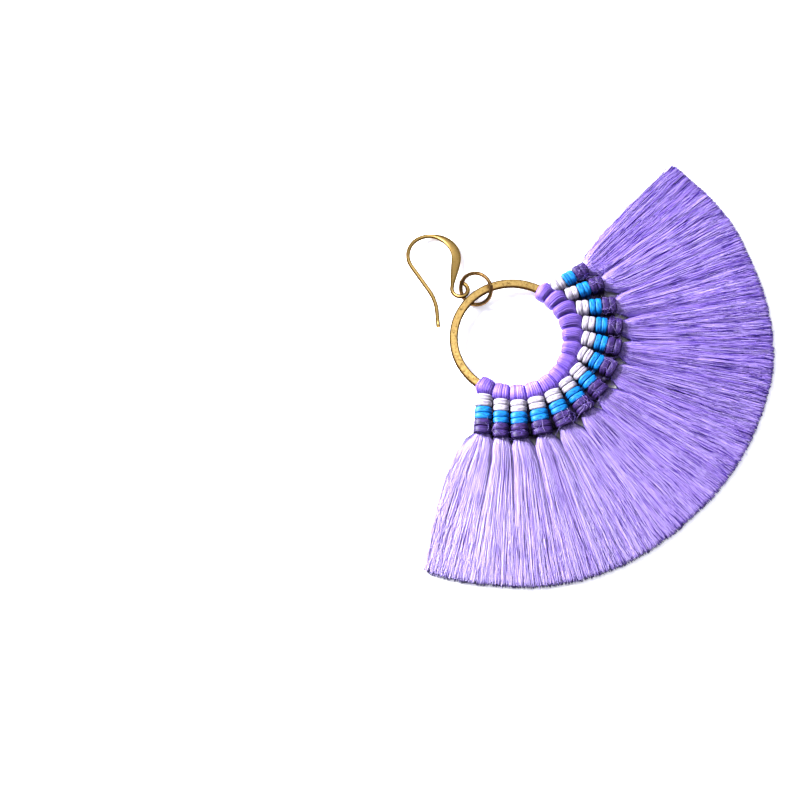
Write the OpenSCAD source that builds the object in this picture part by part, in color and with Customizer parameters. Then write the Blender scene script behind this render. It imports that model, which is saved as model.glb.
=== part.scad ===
// Fan tassel earring, lying face up.
// Millimetres, +Z up, and the middle of the fringe points along -Y.

/* [Hoop] */
// Outside diameter of the hoop
hoop_d = 30; // [27:0.5:34]
// Width of the hoop's band, seen from the front
hoop_band_w = 2; // [1.6:0.1:2.4]
// Thickness of the hoop's band
hoop_band_t = 1.2; // [0.9:0.05:1.4]
// Radius on the edges of the band
hoop_edge_r = 0.3; // [0.15:0.05:0.4]

/* [Thread bundles] */
// Clear space between the thread and the hoop
wrap_gap = 0.15; // [0.1:0.05:0.25]
// Thickness of the thread that is folded over the hoop
wrap_t = 0.9; // [0.6:0.05:1.2]
// Angle between the first and the last bundle on the hoop
wrap_spread = 176; // [170:1:180]
// Shift of the middle bundles on the hoop, as a share of the space between bundles
wrap_shift = 0.38; // [0:0.02:0.4]
// Thickness of a bundle inside the knots
core_t = 0.9; // [0.7:0.05:1.2]
// Width of a bundle just outside the knots
neck_w = 3.6; // [2.6:0.1:4.2]
// Thickness of a bundle just outside the knots
neck_t = 1.6; // [1:0.1:2]
// Angle between the first and the last neck
neck_spread = 151; // [145:1:158]

/* [Fringe] */
// Length of the longest tassel beyond its knots
fringe_len = 35.6; // [20:0.2:60]
// Angle that the whole fringe spans
fan_spread = 159; // [150:1:165]
// Thickness of a lock at its tip
tip_t = 1.1; // [0.7:0.1:1.6]
// Gap between neighbouring tassels
tassel_gap = 0.3; // [0.2:0.05:0.6]
// Width of the slit between two locks at their tips
slit_w = 0.5; // [0.2:0.05:0.8]
// Number of locks in a tassel
locks = 5; // [3:1:6]

/* [Knotted cords] */
// Diameter of the white cord
white_d = 1.3; // [1:0.05:1.45]
// Diameter of the blue cord
blue_d = 1.25; // [1:0.05:1.5]
// Diameter of the purple cord
purple_d = 1.5; // [1.2:0.05:1.6]
// Space between the two ribs of a knot
rib_gap = 0.2; // [0.15:0.05:0.35]
// Space between a cord and the bundle inside it
grip_gap = 0.05; // [0.05:0.01:0.1]
// Space between neighbouring knots in the white row
knot_gap = 0.08; // [0.06:0.02:0.2]
// Space between two rows of knots
row_gap = 0.2; // [0.15:0.05:0.5]
// Distance from the hoop's outer edge to the white row
collar = 0.85; // [0.8:0.05:1.2]

/* [Jump ring] */
// Outside diameter of the jump ring
ring_d = 8.5; // [8:0.1:9]
// Diameter of the jump ring's wire
ring_wire_d = 0.95; // [0.8:0.05:1]
// Width of the cut that lets the ring open
ring_cut = 0.12; // [0.08:0.02:0.3]
// Clear space where the linked wires cross
link_gap = 0.06; // [0.05:0.01:0.1]
// Place of the jump ring round the hoop, from +X
ring_place = 66; // [50:1:80]

/* [Ear hook] */
// Diameter of the hook's wire
hook_wire_d = 1; // [0.8:0.02:1.1]
// Radius of the arch over the ear, at the wire's centre
hook_arch_r = 5.7; // [5:0.1:7]
// Length of the straight stem in front of the ear
hook_stem_len = 7.9; // [5:0.1:10]
// Width of the flattened swell on the stem
hook_swell_w = 2.35; // [1.2:0.05:3]
// Thickness of the flattened swell
hook_swell_t = 0.62; // [0.45:0.02:0.8]
// Radius of the loop that holds the jump ring
hook_loop_r = 1.92; // [1.8:0.02:2.1]
// Length of the straight tail behind the ear
hook_tail_len = 7.5; // [5:0.5:12]
// Length of the tail's straight tip
hook_tip_len = 4; // [3:0.5:6]

/* [Hidden] */
$fn = 48;

brass = [0.82, 0.66, 0.34];
dark_brass = [0.55, 0.38, 0.18];
lavender = [0.69, 0.60, 0.92];
off_white = [0.90, 0.88, 0.92];
sky_blue = [0.05, 0.52, 0.88];
dark_purple = [0.25, 0.16, 0.45];

// One row for each thread bundle, from the right end of the fan to the left.
// Columns: reach as a share of the fringe length, sideways turn of the neck as a
// share of the space between necks, how much looser than the tightest bundle it
// hangs from the hoop in mm, and a seed for the bundle's own lock tips.
BUNDLES = [
    [0.990, -0.02, 0.20, 11],
    [0.990, 0.08, 0.80, 12],
    [0.975, -0.04, 1.00, 13],
    [0.985, -0.07, 1.00, 14],
    [1.000, -0.04, 0.50, 15],
    [0.975, -0.08, 0.20, 16],
    [0.960, -0.26, 0.10, 17],
    [0.945, -0.30, 0.00, 18],
    [0.955, -0.41, 0.00, 19],
    [0.965, -0.48, 0.00, 20],
    [0.965, -0.50, 0.00, 21],
    [0.955, -0.30, 0.00, 22],
    [0.965, -0.06, 0.00, 23],
];
REACH = 0;
NECK_TURN = 1;
SLACK = 2;
SEED = 3;
bundle_count = len(BUNDLES);
middle = (bundle_count - 1) / 2;

// One row for each section of the fringe, from the neck outwards.
// Columns: place as a share of the tassel's length, share of the neck's height
// that is left, and thickness as a share from the neck's 0 to the tip's 1.
FRINGE_ROWS = [
    [0.00, 1.00, 0.00],
    [0.09, 0.62, 0.00],
    [0.22, 0.15, 0.10],
    [0.42, 0.00, 0.40],
    [0.64, 0.00, 0.70],
    [0.85, 0.00, 0.90],
    [1.00, 0.00, 1.00],
];
PLACE = 0;
HEIGHT_LEFT = 1;
THINNING = 2;
fringe_rows = len(FRINGE_ROWS);
first_split_row = 4;
flare_row = 2;

// Heights and radii that follow from the sizes above
hoop_r = hoop_d / 2;
band_r = hoop_r - hoop_band_w / 2;
z_mid = core_t / 2 + grip_gap + max(white_d, blue_d, purple_d);
white_depth = 2 * white_d + rib_gap;
blue_depth = 2 * blue_d + rib_gap;
purple_depth = 2 * purple_d + rib_gap;
white_r = hoop_r + collar + white_depth / 2;
blue_r = white_r + white_depth / 2 + row_gap + blue_depth / 2;
purple_r = blue_r + blue_depth / 2 + row_gap + purple_depth / 2;
core_past_knots = 0.05;
neck_flare_len = 0.5;
core_end_r = purple_r + purple_depth / 2 + core_past_knots;
neck_r = core_end_r + neck_flare_len;

fan_middle = -90;
wrap_pitch = wrap_spread / (bundle_count - 1);
neck_pitch = neck_spread / (bundle_count - 1);
fan_pitch = fan_spread / bundle_count;

function unit(v) = v / norm(v);
function mix(a, b, share) = a + (b - a) * share;
function polar(angle, r, z) = [r * cos(angle), r * sin(angle), z];
function mm_to_deg(length, r) = length / r * 180 / PI;

// A bundle runs straight from its place on the hoop to its neck
function wrap_angle(i) =
    let (off = middle - i)
    fan_middle + (off + wrap_shift * (1 - pow(off / middle, 2))) * wrap_pitch;
function neck_angle(i) = fan_middle + (middle - i + BUNDLES[i][NECK_TURN]) * neck_pitch;
headings = [
    for (i = [0:bundle_count - 1])
        unit(polar(neck_angle(i), neck_r, 0) - polar(wrap_angle(i), band_r, 0))
];
function across(i) = [headings[i][1], -headings[i][0], 0];
// The place on bundle i's axis that is r from the hoop's centre, and its slack more
function axis_point(i, r) =
    let (
        start = polar(wrap_angle(i), band_r, 0),
        lead = start * headings[i],
        far = r + BUNDLES[i][SLACK]
    )
    start + headings[i] * (sqrt(lead * lead - band_r * band_r + far * far) - lead);

// The knots are pushed against each other, so they leave the bundles' width
function knot_room(a, b, r, d) =
    let (
        inner_r = r - (d + rib_gap) / 2,
        apart = cross(
            axis_point(b, inner_r) - axis_point(a, inner_r), unit(headings[a] + headings[b])
        )[2]
    )
    abs(apart) - knot_gap - 2 * (d + grip_gap);
rooms = [
    for (i = [0:bundle_count - 2])
        min(
            knot_room(i, i + 1, white_r, white_d),
            knot_room(i, i + 1, blue_r, blue_d),
            knot_room(i, i + 1, purple_r, purple_d)
        )
];
core_widths = [
    for (i = [0:bundle_count - 1]) min(rooms[max(0, i - 1)], rooms[min(i, bundle_count - 2)])
];

// Triangles between two rows of points that run the same way
function strip(a, b) = [
    for (k = [0:len(a) - 2]) each [[a[k], a[k + 1], b[k + 1]], [a[k], b[k + 1], b[k]]]
];
// Triangles between a row a and a row b that has a point more in each of a's steps
function widening(a, b) = [
    for (k = [0:len(a) - 2]) each [
        [a[k], b[2 * k + 1], b[2 * k]],
        [a[k], a[k + 1], b[2 * k + 1]],
        [a[k + 1], b[2 * k + 2], b[2 * k + 1]],
    ]
];
function flipped(faces) = [for (f = faces) [f[0], f[2], f[1]]];

// The thread goes round the hoop on a rounded rectangle, open towards the fringe
wrap_steps = 10;
wrap_open = 20;
wrap_outer_skin = 0.12;
hole_squareness = 0.45;
skin_squareness = 0.65;
edge_thinning = 0.5;
wrap_angles = [for (j = [0:wrap_steps]) wrap_open + j * (360 - 2 * wrap_open) / wrap_steps];
function rounded(value, power) = sign(value) * pow(abs(value), power);
function wrap_section(angle, inward, outward, high, power) = [
    rounded(cos(angle), power) * (cos(angle) > 0 ? outward : inward),
    rounded(sin(angle), power) * high,
];
hole_half_w = hoop_band_w / 2 + wrap_gap;
hole_half_t = hoop_band_t / 2 + wrap_gap;
// A bundle's sides on the hoop lie halfway to its neighbours, less half a gap
function head_side(i, side) = wrap_angle(i - side / 2) - side * mm_to_deg(tassel_gap / 2, band_r);
function head_angle(i, edge) = mix(head_side(i, -1), head_side(i, 1), (1 + edge) / 2);
widest_head = max([for (i = [0:bundle_count - 1]) head_side(i, 1) - head_side(i, -1)]);
// The hole's outer side is straight, so it needs the room of the hoop's bow
hole_outward = hole_half_w + hoop_r * (1 - cos(widest_head / 2));
wrap_inward = hole_half_w + wrap_t;
wrap_outward = hole_outward + wrap_outer_skin;
wrap_high = hole_half_t + wrap_t;
function hole_section(angle) =
    wrap_section(angle, hole_half_w, hole_outward, hole_half_t, hole_squareness);
function skin_section(angle, edge) =
    mix(
        hole_section(angle), wrap_section(angle, wrap_inward, wrap_outward, wrap_high, skin_squareness),
        1 - edge_thinning * pow(abs(edge), 3)
    );

// Points of one bundle, a row at a time. Places across a row run from 1 to -1,
// from the bundle's side towards the fan's right end to its other side.
head_columns = locks + 1;
core_roundness = 0.75;
function head_edges() = [for (k = [0:locks]) 1 - 2 * k / locks];
function head_row(i, j) = [
    for (edge = head_edges())
        let (s = skin_section(wrap_angles[j], edge))
        polar(head_angle(i, edge), band_r + s[0], z_mid + s[1])
];
function hole_row(i, j) = [
    for (edge = [1, -1])
        let (s = hole_section(wrap_angles[j]))
        polar(head_angle(i, edge), band_r + s[0], z_mid + s[1])
];
function core_row(i, r, face) = [
    for (edge = head_edges())
        let (high = face * core_t / 2 * sqrt(1 - core_roundness * edge * edge))
        axis_point(i, r) - across(i) * edge * core_widths[i] / 2 + [0, 0, z_mid + high]
];

// Each tassel keeps to its own sector of the fan once the neck has flared out.
// Shares of a tassel's length: how far its tips scatter, how far a lock's sides
// fall short of its crest, and how much shorter the fan's two end locks are.
tip_scatter = 0.012;
side_short = 0.012;
end_short = 0.07;
// Shares of the thickness: depth of the valleys in front and behind
front_valley = 0.38;
back_valley = 0.12;
tassel_len = [for (row = BUNDLES) fringe_len * row[REACH]];
// The border between two sectors turns as far as their necks do, and the fan's
// two ends don't turn
function border_turn(n) =
    n == 0 || n == bundle_count ? 0 : (BUNDLES[n - 1][NECK_TURN] + BUNDLES[n][NECK_TURN]) / 2;
function sector_edge(i, side) =
    let (n = side > 0 ? i : i + 1)
    fan_middle + fan_pitch * (bundle_count / 2 - n + border_turn(n));
function side_angle(i, side, m, r) =
    let (
        neck_side = neck_angle(i) + side * mm_to_deg(neck_w / 2, neck_r),
        flare = min(1, FRINGE_ROWS[m][PLACE] / FRINGE_ROWS[flare_row][PLACE])
    )
    mix(neck_side, sector_edge(i, side) - side * mm_to_deg(tassel_gap / 2, r), flare);
function end_lock(i, lock) = (i == 0 && lock == 0) || (i == bundle_count - 1 && lock == locks - 1);
function lock_reach(i, lock) =
    1 + tip_scatter * rands(-1, 1, locks, BUNDLES[i][SEED])[lock] - (end_lock(i, lock) ? end_short : 0);
function row_reach(i, m, lock, crest) =
    m < fringe_rows - 1 ? FRINGE_ROWS[m][PLACE] : lock_reach(i, lock) - (1 - crest) * side_short;
function fringe_r(i, m, lock, crest) =
    neck_r + BUNDLES[i][SLACK] + tassel_len[i] * row_reach(i, m, lock, crest);
function fringe_z(m, face, crest) =
    let (
        thick = mix(neck_t, tip_t, FRINGE_ROWS[m][THINNING]),
        under = FRINGE_ROWS[m][HEIGHT_LEFT] * (z_mid - neck_t / 2),
        front = 1 - front_valley * (1 - crest),
        back = back_valley * (1 - crest) * FRINGE_ROWS[m][HEIGHT_LEFT]
    )
    under + thick * (face > 0 ? front : back);
// Sections where the locks are still one piece, with a crest between two valleys
function joined_row(i, m, face) = [
    for (k = [0:2 * locks])
        let (crest = k % 2, r = fringe_r(i, m, floor(k / 2), crest), place = k / (2 * locks))
        polar(
            mix(side_angle(i, 1, m, r), side_angle(i, -1, m, r), place), r, fringe_z(m, face, crest)
        )
];
// Sections where slits part the locks
function split_row(i, m, face) = [
    for (lock = [0:locks - 1], c = [0:2])
        let (
            crest = c % 2,
            r = fringe_r(i, m, lock, crest),
            slit = slit_w * (m - first_split_row + 1) / (fringe_rows - first_split_row),
            narrow = (1 - c) * mm_to_deg(slit / 2, r),
            place = (lock + c / 2) / locks
        )
        polar(
            mix(side_angle(i, 1, m, r), side_angle(i, -1, m, r), place) - narrow, r,
            fringe_z(m, face, crest)
        )
];

// All points of a bundle, in blocks whose first indices are worked out below
joined_rows = first_split_row;
split_rows = fringe_rows - first_split_row;
joined_w = 2 * locks + 1;
split_w = 3 * locks;
core_rows = 2;
face_points = split_rows * split_w + joined_rows * joined_w + core_rows * head_columns;
function face_side(i, face) = concat(
    [for (m = [fringe_rows - 1:-1:first_split_row]) each split_row(i, m, face)],
    [for (m = [first_split_row - 1:-1:0]) each joined_row(i, m, face)],
    core_row(i, core_end_r, face),
    core_row(i, hoop_r + collar, face)
);
function bundle_points(i) = concat(
    face_side(i, 1),
    face_side(i, -1),
    [for (j = [0:wrap_steps]) each head_row(i, j)],
    [for (j = [0:wrap_steps]) each hole_row(i, j)]
);

function run(first, count) = [for (k = [0:count - 1]) first + k];
// Index rows: m counts fringe sections, q counts core sections from the fringe
function split_index(base, m, lock) = run(base + (fringe_rows - 1 - m) * split_w + 3 * lock, 3);
function joined_index(base, m) =
    run(base + split_rows * split_w + (first_split_row - 1 - m) * joined_w, joined_w);
function core_index(base, q) =
    run(base + split_rows * split_w + joined_rows * joined_w + q * head_columns, head_columns);
function head_index(j) = run(2 * face_points + j * head_columns, head_columns);
hole_base = 2 * face_points + (wrap_steps + 1) * head_columns;
function hole_index(j) = run(hole_base + 2 * j, 2);

// The rows of one lock from its tip to the section where it joins the others
function lock_row(base, m, lock) =
    m >= first_split_row
        ? split_index(base, m, lock)
        : [for (k = [0:2]) joined_index(base, m)[2 * lock + k]];
// Faces of the front or the back of a bundle, from the tips to the hoop
function skin_faces(base) = concat(
    [
        for (lock = [0:locks - 1], m = [fringe_rows - 1:-1:first_split_row])
            each strip(lock_row(base, m, lock), lock_row(base, m - 1, lock))
    ],
    [for (m = [first_split_row - 1:-1:1]) each strip(joined_index(base, m), joined_index(base, m - 1))],
    flipped(widening(core_index(base, 0), joined_index(base, 0))),
    strip(core_index(base, 0), core_index(base, 1))
);
// Walls between the front and the back, along the slits and the outer sides
function lock_walls() = [
    for (lock = [0:locks - 1], m = [fringe_rows - 1:-1:first_split_row])
        let (
            front = lock_row(0, m, lock),
            front_in = lock_row(0, m - 1, lock),
            back = lock_row(face_points, m, lock),
            back_in = lock_row(face_points, m - 1, lock)
        )
        each concat(
            strip([front[0], front_in[0]], [back[0], back_in[0]]),
            strip([front_in[2], front[2]], [back_in[2], back[2]])
        )
];
function first(row) = row[0];
function last(row) = row[len(row) - 1];
function side_rows(base) = concat(
    [for (m = [first_split_row - 1:-1:0]) joined_index(base, m)],
    [core_index(base, 0), core_index(base, 1)]
);
front_rows = concat(side_rows(0), [head_index(0)]);
back_rows = concat(side_rows(face_points), [head_index(wrap_steps)]);
function outer_walls() = [
    for (n = [0:len(front_rows) - 2])
        each concat(
            strip([first(front_rows[n]), first(front_rows[n + 1])],
                [first(back_rows[n]), first(back_rows[n + 1])]),
            strip([last(front_rows[n + 1]), last(front_rows[n])],
                [last(back_rows[n + 1]), last(back_rows[n])])
        )
];
function tip_faces() = [
    for (lock = [0:locks - 1])
        let (m = fringe_rows - 1)
        each flipped(strip(lock_row(0, m, lock), lock_row(face_points, m, lock)))
];
// The wrap round the hoop: outer skin, hole, and the two end faces
function wrap_faces() = concat(
    strip(core_index(0, 1), head_index(0)),
    [for (j = [0:wrap_steps - 1]) each strip(head_index(j), head_index(j + 1))],
    strip(head_index(wrap_steps), core_index(face_points, 1)),
    [
        for (j = [0:wrap_steps])
            each flipped(strip(hole_index(j), hole_index((j + 1) % (wrap_steps + 1))))
    ],
    [
        for (j = [0:wrap_steps - 1])
            each concat(
                strip([first(head_index(j)), first(head_index(j + 1))],
                    [first(hole_index(j)), first(hole_index(j + 1))]),
                strip([last(head_index(j + 1)), last(head_index(j))],
                    [last(hole_index(j + 1)), last(hole_index(j))])
            )
    ],
    flipped(strip([first(head_index(0)), first(head_index(wrap_steps))],
        [first(hole_index(0)), first(hole_index(wrap_steps))])),
    flipped(strip([last(head_index(wrap_steps)), last(head_index(0))],
        [last(hole_index(wrap_steps)), last(hole_index(0))]))
);
bundle_faces = concat(
    skin_faces(0), flipped(skin_faces(face_points)),
    lock_walls(), outer_walls(), tip_faces(), wrap_faces()
);

// A cord's own path: round each bundle twice, with a diagonal between the two
// turns behind, and a short dip to the next bundle
knot_step = 45;
stitch_slant = 0.35;
knot_squareness = 0.8;
link_thin = 0.8;
link_turns = [35, 90, 145];
function knot_half_w(i, d) = core_widths[i] / 2 + grip_gap + d / 2;
function knot_half_t(d) = core_t / 2 + grip_gap + d / 2;
// The stitch behind slants the way that its bundle leans on the hoop
function slant(i) = cross(polar(wrap_angle(i), band_r, 0), headings[i])[2] > 0 ? -1 : 1;
function turn_side(turn) =
    turn <= 180 ? -1 : turn >= 360 ? 1 : -rounded(cos(turn - 180), stitch_slant);
function knot_point(i, r, d, turn) =
    axis_point(i, r) + headings[i] * (d + rib_gap) / 2 * turn_side(turn) * slant(i)
    - across(i) * knot_half_w(i, d) * rounded(cos(turn), knot_squareness)
    + [0, 0, z_mid + knot_half_t(d) * rounded(sin(turn), knot_squareness)];
function knot_points(i, r, d) = [for (turn = [0:knot_step:540]) knot_point(i, r, d, turn)];
function link_points(i, r, d) =
    let (from = knot_point(i, r, d, 540), to = knot_point(i + 1, r, d, 0))
    [
        for (turn = link_turns)
            mix(from, to, (1 - cos(turn)) / 2) - [0, 0, knot_half_t(d) * sin(turn)]
    ];
function cord_path(r, d) = [
    for (i = [0:bundle_count - 1])
        each concat(knot_points(i, r, d), i < bundle_count - 1 ? link_points(i, r, d) : [])
];
knot_rings = 540 / knot_step + 1;
link_rings = len(link_turns);
function in_link(n) = n % (knot_rings + link_rings) >= knot_rings;
function cord_axis(n) = headings[floor(n / (knot_rings + link_rings))];

// A ring of points round a path point, and the tube over all the rings
cord_sides = 6;
function tangent(path, n) = unit(path[min(n + 1, len(path) - 1)] - path[max(n - 1, 0)]);
function ring_points(p, along, side, radius, sides) =
    let (u = unit(side - (side * along) * along), v = cross(along, u))
    [for (k = [0:sides - 1]) p + radius * (cos(k * 360 / sides) * u + sin(k * 360 / sides) * v)];
function tube_faces(rings, sides) = concat(
    [[for (k = [0:sides - 1]) k]],
    [
        for (n = [0:rings - 2], k = [0:sides - 1])
            let (a = n * sides + k, b = n * sides + (k + 1) % sides)
            each [[a, a + sides, b + sides], [a, b + sides, b]]
    ],
    [[for (k = [sides - 1:-1:0]) (rings - 1) * sides + k]]
);
module knotted_cord(r, d) {
    path = cord_path(r, d);
    points = [
        for (n = [0:len(path) - 1])
            each ring_points(path[n], tangent(path, n), cord_axis(n),
                d / 2 * (in_link(n) ? link_thin : 1), cord_sides)
    ];
    polyhedron(points, tube_faces(len(path), cord_sides), convexity = 10);
}

// The jump ring leans so that it passes under the hoop's band on one side, over
// it on the other, over the top of the hook's loop and under its bottom.
// Angles on the ring are counted from the hoop's outward radius.
ring_r = (ring_d - ring_wire_d) / 2;
ring_high_side = -68;
hook_side = 51;
function crossing(r) = acos((r * r - hoop_r * hoop_r - ring_r * ring_r) / (2 * hoop_r * ring_r));
band_crossings = [crossing(hoop_r), crossing(hoop_r - hoop_band_w)];
over_share = min([for (a = band_crossings) cos(-a - ring_high_side)]);
under_share = min([for (a = band_crossings) -cos(a - ring_high_side)]);
hoop_rise = (hoop_band_t + ring_wire_d) / 2 + link_gap;
// The hook's wire is swept with flat sides that just hold the round wire inside
hook_sides = 8;
side_margin = 1.01;
wire_r = hook_wire_d / 2;
swept_r = wire_r * side_margin;
wires_apart = swept_r + ring_wire_d / 2 + link_gap;
loop_half_angle = 2 * asin(hook_loop_r / (2 * ring_r));
loop_top_share = cos(hook_side - loop_half_angle - ring_high_side);
loop_bottom_share = cos(hook_side + loop_half_angle - ring_high_side);
loop_span = 2 * hook_loop_r * cos(loop_half_angle / 2);
hook_slope = 0.13;
// The ring slopes where it crosses the loop, so the wires need more height there
ring_steepest = 0.75;
function steepness(share) = sqrt(1 + ring_steepest * ring_steepest * (1 - share * share));
loop_rise = wires_apart * (steepness(loop_top_share) + steepness(loop_bottom_share));
ring_rise = max(
    2 * hoop_rise / (over_share + under_share),
    (loop_rise - hook_slope * loop_span) / (loop_top_share - loop_bottom_share)
);
ring_lean = asin(ring_rise / ring_r);
lift_least = max(hoop_rise - over_share * ring_rise, ring_rise + ring_wire_d / 2 - z_mid);
lift_most = under_share * ring_rise - hoop_rise;
ring_centre = polar(ring_place, hoop_r, z_mid + (lift_least + lift_most) / 2);
// The cut lies where the ring crosses over the band
ring_cut_at = -(band_crossings[0] + band_crossings[1]) / 2 - ring_high_side;

// The hook's own frame has its loop's centre at the origin and its arch towards +Y
hook_turn = ring_place - 125;
hook_stem_lean = 7;
hook_arch_end = 212;
hook_loop_turn = 280;
hook_bend_r = 12;
hook_bend_turn = 29;
loop_start = 180 - hook_stem_lean;
stem_bottom = hook_loop_r * [cos(loop_start), sin(loop_start)];
stem_up = [sin(hook_stem_lean), cos(hook_stem_lean)];
stem_top = stem_bottom + hook_stem_len * stem_up;
arch_centre = stem_top - hook_arch_r * [cos(hook_stem_lean), -sin(hook_stem_lean)];
tail_top = arch_centre + hook_arch_r * [cos(hook_arch_end), sin(hook_arch_end)];
tail_heading = hook_arch_end + 90;
bend_top = tail_top + hook_tail_len * [cos(tail_heading), sin(tail_heading)];
bend_centre = bend_top + hook_bend_r * [sin(tail_heading), -cos(tail_heading)];
tip_heading = tail_heading - hook_bend_turn;
tip_top = bend_centre - hook_bend_r * [sin(tip_heading), -cos(tip_heading)];

// The loop is level with the ring's two crossings, and the arch rests on the ground
loop_centre = ring_centre + polar(ring_place + hook_side, ring_r, 0)
    + [0, 0, ring_rise * (loop_top_share + loop_bottom_share) / 2];
ground_gap = 0.02;
arch_drop = loop_centre[2] - swept_r - ground_gap - hook_slope * arch_centre[1];
arch_off = -arch_centre[0];
roll_a = arch_off * arch_off - hook_arch_r * hook_arch_r;
roll_b = arch_drop * arch_off;
roll_c = arch_drop * arch_drop - pow(hook_arch_r * hook_slope, 2);
hook_roll = (roll_b - sqrt(roll_b * roll_b - roll_a * roll_c)) / roll_a;
hook_pitch_angle = -atan(hook_slope);
hook_roll_angle = -atan(hook_roll);

// Sections of the wire, from the tail's tip over the arch and round the loop.
// Columns: place, heading, and length past the start of the swell
tip_overlap = 1;
swell_start = 85;
swell_on_stem = 0.85;
swell_outward = 0.4;
swell_early = 0.95;
swell_arc = (swell_start + hook_stem_lean) * PI / 180 * hook_arch_r;
swell_len = swell_arc + swell_on_stem * hook_stem_len;
bend_start = tip_heading - 270;
tip_sections = [[
    tip_top + tip_overlap * [cos(tip_heading), sin(tip_heading)], tip_heading + 180, 0
]];
bend_sections = [
    for (a = [bend_start:hook_bend_turn / 3:bend_start + hook_bend_turn])
        [bend_centre + hook_bend_r * [cos(a), sin(a)], a + 90, 0]
];
arch_sections = [
    for (a = [hook_arch_end:-12.5:0])
        let (past = max(0, swell_start - a) * PI / 180 * hook_arch_r)
        [arch_centre + hook_arch_r * [cos(a), sin(a)], a - 90, past]
];
stem_sections = [
    for (share = [0:0.2:0.8])
        let (down = share * hook_stem_len)
        [stem_top - down * stem_up, -90 - hook_stem_lean, swell_arc + down]
];
loop_sections = [
    for (a = [0:hook_loop_turn / 14:hook_loop_turn])
        [hook_loop_r * [cos(loop_start + a), sin(loop_start + a)], loop_start + a + 90, swell_len]
];
hook_sections = concat(tip_sections, bend_sections, arch_sections, stem_sections, loop_sections);
function swell_share(past) = sin(180 * pow(min(1, past / swell_len), swell_early));
function hook_ring(section) =
    let (
        share = swell_share(section[2]),
        half_w = mix(swept_r, hook_swell_w / 2, share),
        half_t = mix(swept_r, hook_swell_t / 2, share),
        left = [-sin(section[1]), cos(section[1])],
        centre = section[0] + left * swell_outward * (half_w - swept_r),
        corner = 1 / cos(180 / hook_sides)
    )
    [
        for (k = [0:hook_sides - 1])
            let (a = (k + 0.5) * 360 / hook_sides, p = centre + left * half_w * corner * cos(a))
            [p[0], p[1], half_t * corner * sin(a)]
    ];
module forged_wire() {
    polyhedron(
        [for (s = hook_sections) each hook_ring(s)],
        tube_faces(len(hook_sections), hook_sides),
        convexity = 6
    );
}
module round_tip() {
    translate([tip_top[0], tip_top[1], 0])
        rotate([0, 0, tip_heading])
            rotate([0, 90, 0])
                cylinder(r = wire_r, h = hook_tip_len);
}

// The part's origin is the middle of its outline, on the ground.
fan_points = [for (i = [0:bundle_count - 1]) each bundle_points(i)];
fan_x = [for (p = fan_points) p[0]];
fan_y = [for (p = fan_points) p[1]];
// The arch's highest point along Y, from the hook's own axes in the part's frame
axis_x_y = sin(hook_turn) * cos(hook_roll_angle);
axis_y_y = sin(hook_turn) * sin(hook_roll_angle) * sin(hook_pitch_angle)
    + cos(hook_turn) * cos(hook_pitch_angle);
hook_top_y = loop_centre[1] + arch_centre[0] * axis_x_y + arch_centre[1] * axis_y_y
    + hook_arch_r * norm([axis_x_y, axis_y_y]) + swept_r;
outline_middle = [(min(fan_x) + max(fan_x)) / 2, (min(fan_y) + hook_top_y) / 2, 0];

module hoop_ring() {
    flat_w = hoop_band_w - 2 * hoop_edge_r;
    flat_t = hoop_band_t - 2 * hoop_edge_r;
    color(brass)
        translate([0, 0, z_mid])
            rotate_extrude()
                translate([band_r, 0]) {
                    square([hoop_band_w, flat_t], center = true);
                    square([flat_w, hoop_band_t], center = true);
                    for (x = [-1, 1], y = [-1, 1])
                        translate([x * flat_w / 2, y * flat_t / 2])
                            circle(r = hoop_edge_r);
                }
}

module jump_ring() {
    cut_angle = mm_to_deg(ring_cut, ring_r);
    color(dark_brass)
        translate(ring_centre)
            rotate([0, -ring_lean, ring_place + ring_high_side])
                rotate([0, 0, ring_cut_at + cut_angle / 2])
                    rotate_extrude(angle = 360 - cut_angle)
                        translate([ring_r, 0])
                            circle(d = ring_wire_d);
}

module ear_hook() {
    color(brass)
        translate(loop_centre)
            rotate([hook_pitch_angle, hook_roll_angle, hook_turn]) {
                forged_wire();
                round_tip();
            }
}

module tassel(i) {
    color(lavender)
        polyhedron(bundle_points(i), bundle_faces, convexity = 10);
}

module white_cord() {
    color(off_white) knotted_cord(white_r, white_d);
}

module blue_cord() {
    color(sky_blue) knotted_cord(blue_r, blue_d);
}

module purple_cord() {
    color(dark_purple) knotted_cord(purple_r, purple_d);
}

translate(-outline_middle) {
    hoop_ring();
    jump_ring();
    ear_hook();
    tassel(0);  // tassel_01
    tassel(1);  // tassel_02
    tassel(2);  // tassel_03
    tassel(3);  // tassel_04
    tassel(4);  // tassel_05
    tassel(5);  // tassel_06
    tassel(6);  // tassel_07
    tassel(7);  // tassel_08
    tassel(8);  // tassel_09
    tassel(9);  // tassel_10
    tassel(10);  // tassel_11
    tassel(11);  // tassel_12
    tassel(12);  // tassel_13
    white_cord();
    blue_cord();
    purple_cord();
}
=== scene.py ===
# %% [markdown]
# A fan tassel earring
#
# The earring lies face up on a white table. Thirteen bundles of silky lavender
# thread are folded over a flat brass hoop. Three waxed cords, white, blue and
# purple, are knotted round every bundle, and past them the threads fan out. A
# small dark ring links the hoop to the ear hook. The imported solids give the
# places and sizes of all this, and these cells dress them.

import math

import bpy
import numpy as np
from mathutils import Matrix, Vector


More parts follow.
